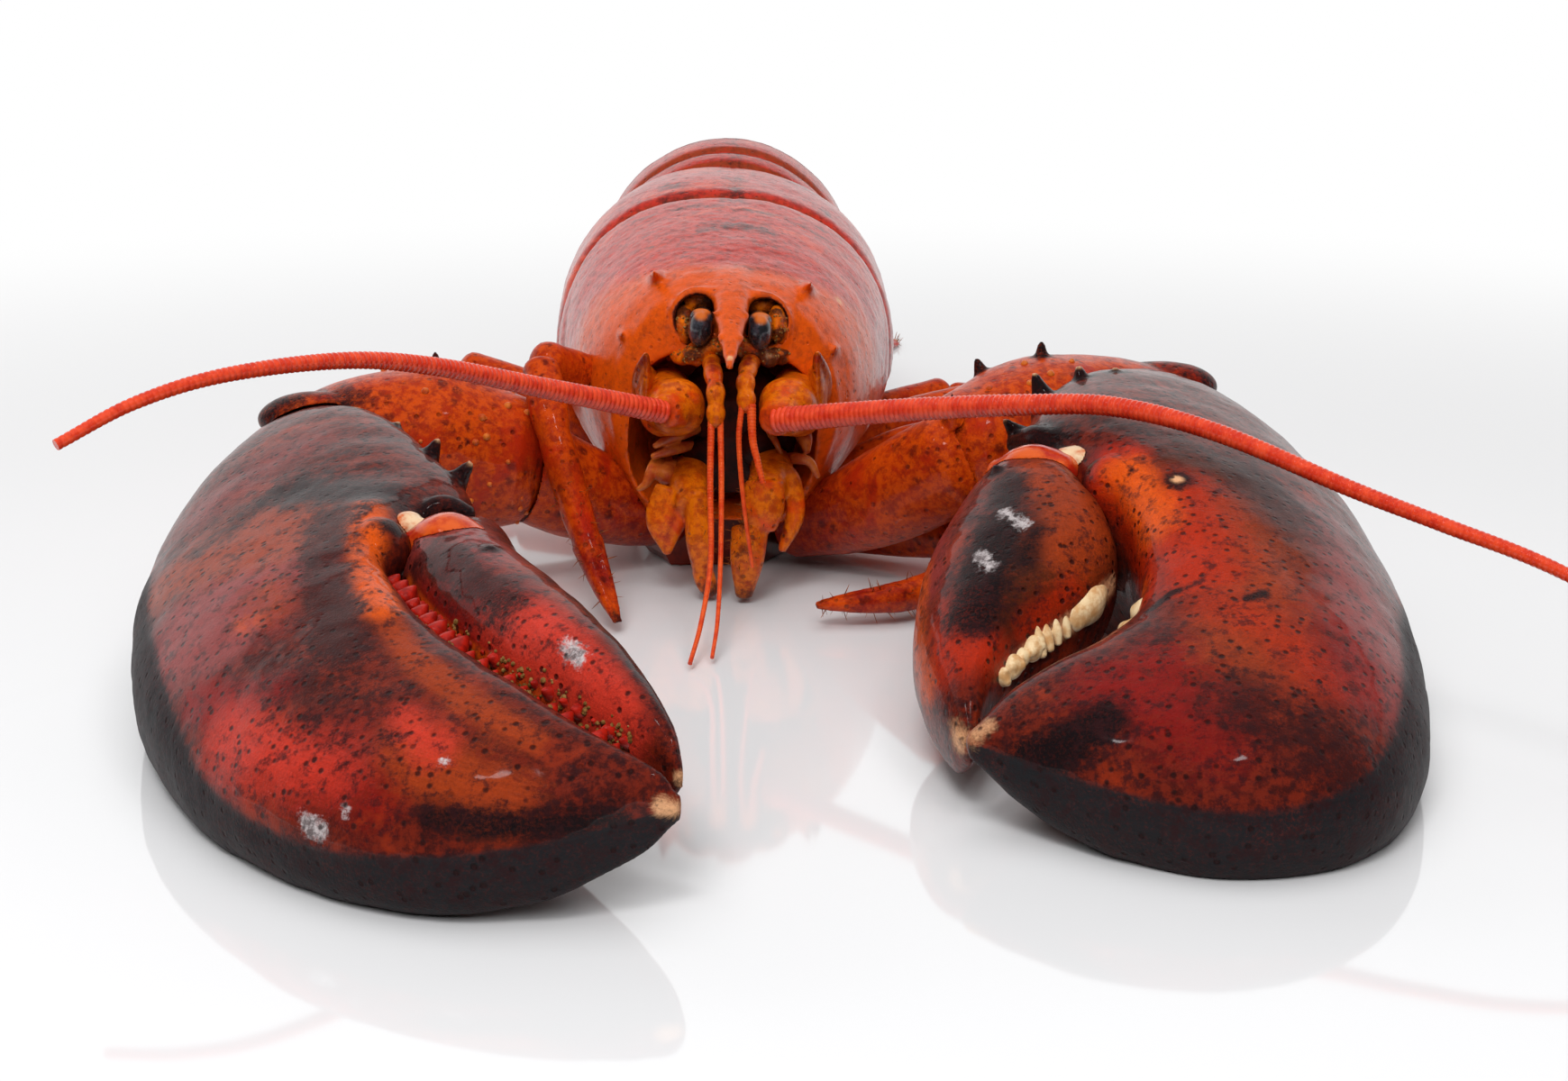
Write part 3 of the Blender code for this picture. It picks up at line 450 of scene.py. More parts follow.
def shellMaterial(name, look):
    made, tree, shader = blankMaterial(name)
    place = millimetres(tree)
    flow = attribute(tree, "flow", "Vector")
    clouds = noise(tree, place, 0.42, 6, 0.74)
    broad = noise(tree, place, 0.10, 5, 0.62, 0.6)
    fine = noise(tree, place, 0.85, 6, 0.70)
    grain = noise(tree, place, 2.6, 4, 0.75)
    streaks = noise(tree, stretched(tree, flow, (0.25, 1.0, 1.0)), 0.7, 5, 0.7)
    lobed = noise(tree, stretched(tree, flow, (0.7, 1.0, 1.0)), 0.30, 5, 0.65, 0.8)
    ragged = weighted(tree, -0.5, (clouds, 0.30), (fine, 0.25), (lobed, 0.30), (grain, 0.15))
    cover = weighted(tree, 0.70, (softened(tree, grain, 0.30, 0.56), 0.30))
    shaded = product(tree, softened(tree, streaks, 0.35, 0.7), 0.18)
    colour = mixed(tree, softened(tree, fine, 0.40, 0.62), srgb(*look["ground"]), srgb(*look["mottle"]))
    colour = mixed(tree, softened(tree, broad, 0.52, 0.66), colour, srgb(*look["patch"]))
    for paintName, (tint, edge) in shellPaints.items():
        amount = attribute(tree, paintName)
        level = softened(tree, weighted(tree, amount, (ragged, edge * 2.6)), 0.20, 0.80)
        level = product(tree, level, softened(tree, amount, 0.02, 0.12), cover)
        colour = mixed(tree, level, colour, mixed(tree, shaded, tint, (0, 0, 0, 1)))
    pepper = product(tree, softened(tree, clouds, 0.47, 0.60), softened(tree, fine, 0.38, 0.56),
                     look["pepper"])
    colour = mixed(tree, pepper, colour, srgb(44, 18, 20))
    # fine dark pits
    cells = add(tree, "ShaderNodeTexVoronoi", {"Vector": place, "Scale": look["pitScale"]})
    chance = add(tree, "ShaderNodeSeparateColor", {0: cells.outputs["Color"]}).outputs[0]
    hole = product(tree, softened(tree, cells.outputs["Distance"], 0.30, 0.12),
                   softened(tree, chance, look["pitShare"], look["pitShare"] + 0.15))
    colour = mixed(tree, product(tree, hole, look["pitDark"]), colour, srgb(34, 14, 14))
    spots = add(tree, "ShaderNodeTexVoronoi", {"Vector": place, "Scale": look["spotScale"]})
    pick = add(tree, "ShaderNodeSeparateColor", {0: spots.outputs["Color"]}).outputs[1]
    spot = product(tree, softened(tree, spots.outputs["Distance"], 0.42, 0.18),
                   softened(tree, pick, 0.45, 0.7), softened(tree, fine, 0.35, 0.55), look["spots"])
    colour = mixed(tree, spot, colour, srgb(*look["spotColour"]))
    tree.links.new(colour, shader.inputs["Base Color"])
    margin, scuff, matte = (attribute(tree, word) for word in ("margin", "scuff", "matte"))
    rough = weighted(tree, look["roughness"] - 0.09, (fine, 0.18), (margin, 0.12), (scuff, 0.25))
    tree.links.new(rough, shader.inputs["Roughness"])
    height = weighted(tree, 0.0, (fine, 0.55), (hole, -1.0), (noise(tree, place, 3.2, 3), 0.35))
    bump = add(tree, "ShaderNodeBump", {"Strength": look["bump"], "Distance": 0.0003, "Height": height})
    tree.links.new(bump.outputs[0], shader.inputs["Normal"])
    worn = [(attribute(tree, word), 0.6) for word in ("rust", "umber", "ember")]
    dull = weighted(tree, 0.0, (margin, 1.0), (matte, 1.0), *worn, clamp=True)
    gloss = product(tree, weighted(tree, 1.0, (dull, -0.9)), look["coat"])
    tree.links.new(gloss, shader.inputs["Coat Weight"])
    shader.inputs["Coat Roughness"].default_value = look["coatRoughness"]
    shader.inputs["Specular IOR Level"].default_value = look["specular"]
    return made


clawLook = {"ground": (104, 30, 16), "mottle": (60, 18, 14), "patch": (132, 40, 16), "pitScale": 0.62,
            "pitShare": 0.15, "pitDark": 0.85, "spots": 0.0, "spotScale": 0.3, "pepper": 0.75,
            "spotColour": (70, 16, 12), "roughness": 0.40, "bump": 0.85, "coat": 0.40, "coatRoughness": 0.07,
            "specular": 0.10}
armLook = {**clawLook, "ground": (196, 70, 8), "mottle": (160, 42, 8), "patch": (170, 38, 10),
           "pitShare": 0.6,
           "pitDark": 0.5, "spots": 0.7, "spotScale": 0.34, "pepper": 0.25, "roughness": 0.30, "coat": 0.26}
legLook = {**armLook, "ground": (196, 68, 8), "mottle": (166, 44, 8), "patch": (176, 36, 8), "spotScale": 0.5}
bodyLook = {**clawLook, "ground": (188, 42, 24), "mottle": (156, 28, 16), "patch": (202, 62, 26),
            "pepper": 0.3,
            "pitScale": 0.8, "pitShare": 0.55, "pitDark": 0.35, "spots": 0.15,
            "spotColour": (120, 24, 16), "roughness": 0.30, "coat": 0.42, "coatRoughness": 0.14, "bump": 0.4,
            "specular": 0.28}
faceLook = {**legLook, "ground": (216, 106, 6), "mottle": (190, 74, 6), "patch": (206, 64, 8), "spots": 0.30,
            "spotColour": (140, 22, 6), "coat": 0.24, "specular": 0.18}

clawShell = shellMaterial("clawShell", clawLook)
armShell = shellMaterial("armShell", armLook)
legShell = shellMaterial("legShell", legLook)
bodyShell = shellMaterial("bodyShell", bodyLook)
faceShell = shellMaterial("faceShell", faceLook)


def simpleMaterial(name, tint, second, scale, roughness, coat):
    made, tree, shader = blankMaterial(name)
    place = millimetres(tree)
    cloud = noise(tree, place, scale, 5, 0.65)
    tree.links.new(mixed(tree, softened(tree, cloud, 0.38, 0.64), srgb(*tint), srgb(*second)),
                   shader.inputs["Base Color"])
    tree.links.new(weighted(tree, roughness - 0.08, (cloud, 0.16)), shader.inputs["Roughness"])
    bump = add(tree, "ShaderNodeBump", {"Strength": 0.4, "Distance": 0.0001,
                                        "Height": noise(tree, place, scale * 4, 4)})
    tree.links.new(bump.outputs[0], shader.inputs["Normal"])
    shader.inputs["Coat Weight"].default_value = coat
    shader.inputs["Coat Roughness"].default_value = 0.15
    shader.inputs["Specular IOR Level"].default_value = 0.3
    return made


whipRed = simpleMaterial("whipRed", (224, 72, 38), (200, 46, 22), 0.5, 0.26, 0.6)
feelerOrange = simpleMaterial("feelerOrange", (222, 84, 30), (200, 56, 18), 0.6, 0.32, 0.25)
molarIvory = simpleMaterial("molarIvory", (236, 210, 166), (206, 156, 102), 0.45, 0.30, 0.4)
toothRed = simpleMaterial("toothRed", (172, 28, 14), (128, 16, 10), 0.8, 0.32, 0.3)
crumbOlive = simpleMaterial("crumbOlive", (92, 62, 22), (146, 106, 58), 1.4, 0.55, 0.1)
# dark red mouth parts, darkened further as painted shade of the face's hollow
mouthDark = simpleMaterial("mouthDark", (58, 10, 4), (26, 6, 4), 0.5, 0.55, 0.0)
palpOchre = simpleMaterial("palpOchre", (204, 108, 40), (176, 66, 28), 0.5, 0.32, 0.3)
hingeSkin = simpleMaterial("hingeSkin", (226, 196, 158), (200, 92, 36), 0.30, 0.24, 0.5)
scoopRed = simpleMaterial("scoopRed", (172, 30, 12), (212, 88, 28), 0.22, 0.22, 0.6)
# dark red breastplate: painted shade beneath the body over its own red
breastRed = simpleMaterial("breastRed", (122, 34, 16), (84, 18, 12), 0.3, 0.34, 0.2)
bristleBrown = simpleMaterial("bristleBrown", (112, 58, 22), (160, 84, 34), 0.5, 0.55, 0.0)
stage("materials")


# Geometry Nodes

def newTree(name, inputs):
    tree = bpy.data.node_groups.new(name, "GeometryNodeTree")
    tree.interface.new_socket("Geometry", in_out="INPUT", socket_type="NodeSocketGeometry")
    for label, (kind, value) in inputs.items():
        socket = tree.interface.new_socket(label, in_out="INPUT", socket_type="NodeSocket" + kind)
        if value is not None:
            socket.default_value = value
    tree.interface.new_socket("Geometry", in_out="OUTPUT", socket_type="NodeSocketGeometry")
    return tree, tree.nodes.new("NodeGroupInput").outputs


def endTree(tree, geometry, material):  # smooth, real and finished
    smooth = add(tree, "GeometryNodeSetShadeSmooth", {0: geometry})
    real = add(tree, "GeometryNodeRealizeInstances", {0: smooth.outputs[0]})
    coated = add(tree, "GeometryNodeSetMaterial", {0: real.outputs[0], "Material": material})
    add(tree, "NodeGroupOutput", {0: coated.outputs[0]})
    return tree


def grow(obj, tree, values):
    modifier = obj.modifiers.new(tree.name, "NODES")
    modifier.node_group = tree
    for socket in tree.interface.items_tree:
        if socket.in_out == "INPUT" and socket.name in values:
            modifier[socket.identifier] = values[socket.name]
    settle(obj)


def pathObject(name, points):
    mesh = bpy.data.meshes.new(name)
    count = len(points)
    mesh.from_pydata([tuple(p * mm) for p in points], [(i, i + 1) for i in range(count - 1)], [])
    obj = bpy.data.objects.new(name, mesh)
    scene.collection.objects.link(obj)
    return obj


def ringedWhipTree():  # a tapering whip of fine rings along a path
    tree, given = newTree("ringedWhip", {
        "Root Radius": ("Float", 0.002), "Tip Radius": ("Float", 0.0004), "Ring Spacing": ("Float", 0.0008),
        "Groove Depth": ("Float", 0.1), "Sides": ("Int", 14), "Material": ("Material", None),
    })
    curve = add(tree, "GeometryNodeMeshToCurve", {0: given["Geometry"]})
    step = add(tree, "ShaderNodeMath", {0: given["Ring Spacing"], 1: 6.0}, operation="DIVIDE").outputs[0]
    even = add(tree, "GeometryNodeResampleCurve", {"Curve": curve.outputs[0], "Length": step}, mode="LENGTH")
    spot = add(tree, "GeometryNodeSplineParameter").outputs
    turns = maths(tree, "DIVIDE", spot["Length"], given["Ring Spacing"])
    wave = maths(tree, "ABSOLUTE", maths(tree, "SINE", product(tree, turns, math.pi)))
    dip = product(tree, maths(tree, "SUBTRACT", 1.0, maths(tree, "POWER", wave, 0.55)), given["Groove Depth"])
    taper = add(tree, "ShaderNodeMapRange", {0: maths(tree, "POWER", spot["Factor"], 0.85),
                                            3: given["Root Radius"], 4: given["Tip Radius"]}).outputs[0]
    radius = product(tree, taper, maths(tree, "SUBTRACT", 1.0, dip))
    circle = add(tree, "GeometryNodeCurvePrimitiveCircle", {"Resolution": given["Sides"], "Radius": 1.0})
    skin = add(tree, "GeometryNodeCurveToMesh", {
        0: even.outputs[0], 1: circle.outputs[0], "Scale": radius, "Fill Caps": True,
    })
    return endTree(tree, skin.outputs[0], given["Material"])


def rowTree():  # copies of one form in a row along a path, turned to the path's own "way"
    tree, given = newTree("row", {
        "Form": ("Object", None), "Count": ("Int", 6), "Size": ("Float", 1.0), "End Size": ("Float", 0.6),
        "Size Variation": ("Float", 0.15), "Seed": ("Int", 0), "Material": ("Material", None),
    })
    curve = add(tree, "GeometryNodeMeshToCurve", {0: given["Geometry"]})
    even = add(tree, "GeometryNodeResampleCurve", {"Curve": curve.outputs[0], "Count": given["Count"]})
    form = add(tree, "GeometryNodeObjectInfo", {"Object": given["Form"]}).outputs["Geometry"]
    way = add(tree, "GeometryNodeInputNamedAttribute", {"Name": "way"}, data_type="FLOAT_VECTOR").outputs[0]
    aim = add(tree, "FunctionNodeAlignRotationToVector", {"Vector": way}, axis="Z").outputs[0]
    spin = add(tree, "FunctionNodeRandomValue", {2: 0.0, 3: 6.28, "Seed": given["Seed"]}).outputs[1]
    turned = add(tree, "FunctionNodeRotateRotation", {
        0: aim, 1: add(tree, "FunctionNodeAxisAngleToRotation", {0: (0, 0, 1), 1: spin}).outputs[0],
    }, rotation_space="LOCAL").outputs[0]
    factor = add(tree, "GeometryNodeSplineParameter").outputs["Factor"]
    size = add(tree, "ShaderNodeMapRange", {0: factor, 3: given["Size"], 4: given["End Size"]}).outputs[0]
    vary = add(tree, "FunctionNodeRandomValue", {
        2: maths(tree, "SUBTRACT", 1.0, given["Size Variation"]),
        3: maths(tree, "ADD", 1.0, given["Size Variation"]), "Seed": given["Seed"],
    }).outputs[1]
    placed = add(tree, "GeometryNodeInstanceOnPoints", {
        "Points": even.outputs[0], "Instance": form, "Rotation": turned, "Scale": product(tree, size, vary),
    })
    return endTree(tree, placed.outputs[0], given["Material"])


def coatTree():  # bristles, warts or crumbs scattered where the skin's "coat" attribute is high
    tree, given = newTree("coat", {
        "Form": ("Object", None), "Density": ("Float", 100000.0), "Size": ("Float", 1.0),
        "Least Size": ("Float", 0.5), "Lean": ("Float", 0.4), "Seed": ("Int", 0),
        "Material": ("Material", None),
    })
    coat = add(tree, "GeometryNodeInputNamedAttribute", {"Name": "coat"}, data_type="FLOAT").outputs[0]
    density = product(tree, coat, given["Density"])
    spread = add(tree, "GeometryNodeDistributePointsOnFaces", {
        "Mesh": given["Geometry"], "Density": density, "Seed": given["Seed"],
    })
    form = add(tree, "GeometryNodeObjectInfo", {"Object": given["Form"]}).outputs["Geometry"]
    wander = add(tree, "FunctionNodeRandomValue", {0: (-1, -1, -1), 1: (1, 1, 1), "Seed": given["Seed"]},
                 data_type="FLOAT_VECTOR").outputs[0]
    leaning = add(tree, "ShaderNodeVectorMath", {0: wander, "Scale": given["Lean"]},
                  operation="SCALE").outputs[0]
    way = add(tree, "ShaderNodeVectorMath", {0: spread.outputs["Normal"], 1: leaning}).outputs[0]
    aim = add(tree, "FunctionNodeAlignRotationToVector", {"Vector": way}, axis="Z").outputs[0]
    size = add(tree, "FunctionNodeRandomValue", {2: given["Least Size"], 3: given["Size"],
                                                 "Seed": given["Seed"]})
    placed = add(tree, "GeometryNodeInstanceOnPoints", {
        "Points": spread.outputs[0], "Instance": form, "Rotation": aim, "Scale": size.outputs[1],
    })
    return endTree(tree, placed.outputs[0], given["Material"])


whipTree, lineTree, scatterTree = ringedWhipTree(), rowTree(), coatTree()


def formFrom(name, profile, sides, lumps=0.0):  # a small turned form standing on the origin
    hoops = [hoop(np.array((0, 0, z)), np.array((r, 0, 0)), np.array((0, r, 0)), sides) for r, z in profile]
    skin, faces = skinOver(hoops)
    if lumps:
        skin = skin * (1 + lumps * swell(skin * 40, 40.0, 5))[:, None]
    return meshFrom(name, [(skin, faces)])


bristleForm = formFrom("bristleForm", ((0.05, 0.0), (0.04, 0.5), (0.015, 1.0)), 4)
wartForm = formFrom("wartForm", ((0.5, -0.25), (0.42, 0.12), (0.22, 0.34), (0.06, 0.4)), 8)
crumbForm = formFrom("crumbForm", ((0.25, -0.3), (0.5, -0.05), (0.42, 0.22), (0.15, 0.42)), 7, 0.3)
molarForm = clay("molarForm", [pebble((0, 0, 0.1), (0.82, 1.0, 0.75)),
                               pebble((0.3, 0.35, 0.5), (0.42, 0.45, 0.38)),
                               pebble((-0.3, -0.25, 0.55), (0.42, 0.42, 0.35)),
                               pebble((0.1, -0.5, 0.35), (0.4, 0.4, 0.4))],
                 0.12, 2)
coneForm = formFrom("coneForm", ((0.9, -0.5), (0.86, 0.0), (0.66, 0.5), (0.4, 0.95), (0.16, 1.25),
                                 (0.05, 1.32)), 12)
smallForms = [bristleForm, wartForm, crumbForm, molarForm, coneForm]


def aboveTable(obj):
    places = placesOf(obj)
    places[:, 2] = np.maximum(places[:, 2], 0.0)
    setPlaces(obj, places)
    return obj


rowKeys = ("Count", "Size", "End Size", "Size Variation", "Seed")
coatKeys = ("Density", "Size", "Least Size", "Lean", "Seed")
coats = {  # what is scattered on a piece: how many to a square metre, largest and least size, lean and seed
    "clawCrumbs": (1.1e6, 1.0, 0.3, 1.0, 15),
    "warts": (2.2e4, 1.7, 0.7, 0.1, 12),
    "jawBristles": (0.9e6, 1.5, 0.6, 0.6, 7),
    "faceCrumbs": (1.1e6, 0.55, 0.2, 1.5, 5),
    "legBristles": (0.25e6, 1.9, 0.8, 0.5, 3),
    "fringe": (1.2e6, 2.0, 1.0, 0.25, 8),
}


def rowOf(name, form, path, way, settings, material):
    line = through(path, 40)
    obj = pathObject(name, line)
    direction = np.tile(np.array(way, float) / np.linalg.norm(way), (len(line), 1))
    keepAttribute(obj, "way", direction, "FLOAT_VECTOR")
    grow(obj, lineTree, {"Form": form, "Material": material, **dict(zip(rowKeys, settings))})
    finishPiece(obj, material)


def coatOf(name, form, base, mask, coat, material):
    obj = bpy.data.objects.new(name, base.data.copy())
    scene.collection.objects.link(obj)
    keepAttribute(obj, "coat", mask)
    grow(obj, scatterTree, {"Form": form, "Material": material, **dict(zip(coatKeys, coats[coat]))})
    finishPiece(aboveTable(obj), material)


# Claws. Rows run from the wrist to the tip: inner margin, outer margin, height above and below their line

crusher = {
    "palm": (
        (53, -51, 25, 75, -36, 23, 10, 11), (47, -61, 26, 82.5, -51.5, 20, 13.5, 16.5),
        (43, -73, 26, 88.8, -70, 16.5, 15.8, 19), (42, -85, 25.5, 92, -92, 12.5, 17, 19.6),
        (47, -97, 25, 92.4, -113, 9, 16, 18), (53, -111, 23.5, 89.6, -134, 7, 14, 16),
        (53.5, -124, 21, 83.5, -153.5, 6, 12, 14), (51, -133, 18.5, 73, -166, 5.5, 10.5, 12.3),
        (45.5, -138.5, 16.5, 59, -169.5, 5.5, 9.5, 11.3), (39, -142, 14.5, 46.5, -165, 7, 8, 10),
        (33, -146, 13, 37, -158.5, 8.5, 5.5, 7), (28.5, -151, 11.5, 29.5, -153.5, 11, 2, 2.2),
    ),
    "finger": (
        (46.5, -93, 24.5, 38.5, -85, 23.5, 9, 10), (51, -104, 23, 31.5, -94.5, 20, 11.5, 13),
        (51.5, -116, 20.5, 26.3, -107.5, 16.5, 12, 14), (45.5, -124.5, 17.5, 23.8, -120, 13.5, 11, 13),
        (37.5, -131, 14.5, 23.8, -131.5, 11, 9, 10.5), (32.5, -138.5, 12, 26.3, -141.5, 9, 6, 7.5),
        (30, -145, 9.3, 28.6, -147, 7.8, 2, 2.2),
    ),
    "thorns": (((47.5, -66, 33), (-1.8, 1, 5.4), 2.4), ((53.5, -65, 34), (-0.8, 1.5, 5), 2.2),
               ((58.5, -64, 35), (0, 1.5, 3.6), 1.6), ((42.5, -80, 31.5), (-3.2, -0.4, 3.4), 2.2),
               ((59.5, -110, 30), (0.4, -1, 3.6), 1.8)),
    "knob": ((52.5, -102, 29.5), (4.4, 5, 4.8)),
    "lobe": (((41.5, -81, 31), (44.5, -85.5, 32.4), (47.5, -89.5, 32)), 2.6),
    "rimThorn": ((37.6, -99.5, 29.5), (36.4, -97.8, 32.6), 1.8),
    "scoop": (((38.5, -91, 28.8), (42.5, -94.2, 30.4), (46.6, -96.4, 30.7)), (4.4, 3.8)),
    "membrane": (((46.0, -92.6, 31.2), (49.8, -95.2, 32.4)), (2.8, 2.1)),
    "marginEdge": ((0.0, -60), (0.28, -20), (0.36, 25), (0.44, 42), (0.52, 42), (0.56, 36), (0.62, 27),
                   (0.7, 19), (0.8, 17), (1.0, 18)),
    "palmPaint": {
        "blaze": ((((54, -106, 33), (56, -112, 31), (57, -119, 28)), 4.2, 0.75),
                  (((52, -128, 23), (46, -136, 20)), 3.0, 0.6)),
        "ember": ((((53, -103, 34), (53, -112, 29), (52.5, -121, 24), (53, -130, 22)), 4.6),
                  (((59, -113, 31), (60, -123, 28), (59, -132, 27)), 7.5, 0.75),
                  (((60, -140, 26), (66, -146, 23), (70, -152, 18)), 6.0, 0.55)),
        "wine": ((((52, -150, 20), (57, -160, 14), (46, -153, 19)), 7.5, 0.75),
                 (((53, -100, 32), (52, -106, 32)), 4.0), (((72, -140, 24), (76, -150, 17)), 7.0, 0.6)),
        "rust": ((((64, -118, 30), (66, -134, 26), (62, -148, 21)), 9.0, 0.7),),
        "umber": ((((69, -125, 29), (70, -112, 31), (62, -108, 33)), 9.0, 0.8),),
        "plum": ((((78, -112, 30), (80, -134, 22), (78, -148, 16)), 9.0, 0.7),),
        "dusk": ((((72, -100, 33), (74, -116, 30)), 8.0, 0.6), (((60, -158, 17), (70, -162, 12)), 6.5, 0.75),
                 (((46, -146, 19), (52, -144, 21)), 4.0, 0.7)),
        "soot": ((((44, -158, 16), (39, -158, 13), (35, -157, 11)), 3.4), (((49.3, -101, 32),), 2.4),
                 (((52, -138, 23.5), (55, -136, 25), (58, -135.6, 25.6), (60, -134, 26.4)), 0.7, 0.95),
                 (((51, -147, 23), (54, -146.6, 24), (57, -145.4, 24.5)), 0.6, 0.9),
                 (((58, -150, 22), (59.4, -153, 20.6), (58.4, -156, 19.2)), 0.55, 0.9),
                 (((64, -140, 26), (66.5, -138.6, 26.4)), 0.9, 0.9)),
        "horn": ((((31, -152, 13), (29.5, -152, 12)), 1.3),
                 (((50, -134, 19), (45.5, -139, 18), (40, -142.5, 16), (35, -146, 14)), 1.5, 0.9)),
    },
    "fingerPaint": {
        "umber": ((((47, -110, 28), (46, -118, 27), (43, -124, 24)), 8.0, 0.95),
                  (((38, -124, 25), (34, -132, 21)), 5.0, 0.8)),
        "rust": ((((42, -103, 31), (46, -112, 29), (44, -120, 26)), 6.0, 0.9),),
        "ember": ((((30, -128, 20), (28, -136, 16), (33, -136, 17)), 4.5, 0.8),
                  (((44, -124, 22), (38, -131, 19)), 3.0, 0.6)),
        "soot": ((((38, -104, 31), (36.5, -112, 30)), 3.4, 0.85),
                 (((35.6, -115, 29), (32, -126, 24), (30.5, -131, 21)), 4.2),
                 (((40, -118, 28.5), (38, -124, 26)), 2.4, 0.7)),
        "wine": ((((36, -128, 22), (34, -134, 19)), 4.5, 0.7),),
        "blaze": ((((25.5, -112, 20), (24.5, -122, 16), (25, -134, 12)), 3.6, 0.7),),
        "plum": ((((30, -96, 26), (27, -106, 23), (26, -118, 19)), 5.0, 0.9),),
        "horn": ((((28.4, -145, 9), (28.6, -143, 10)), 1.6),
                 (((50, -118, 21), (45, -125, 18.5), (38, -131, 15.5)), 1.5, 0.8)),
        # pale scuffs, partly painted white glints of gloss
        "scuff": ((((36.6, -113, 30), (38.6, -117, 29)), 1.1, 0.8),
                  (((32.6, -121, 26), (33.4, -124, 25)), 1.0, 0.8)),
    },
}
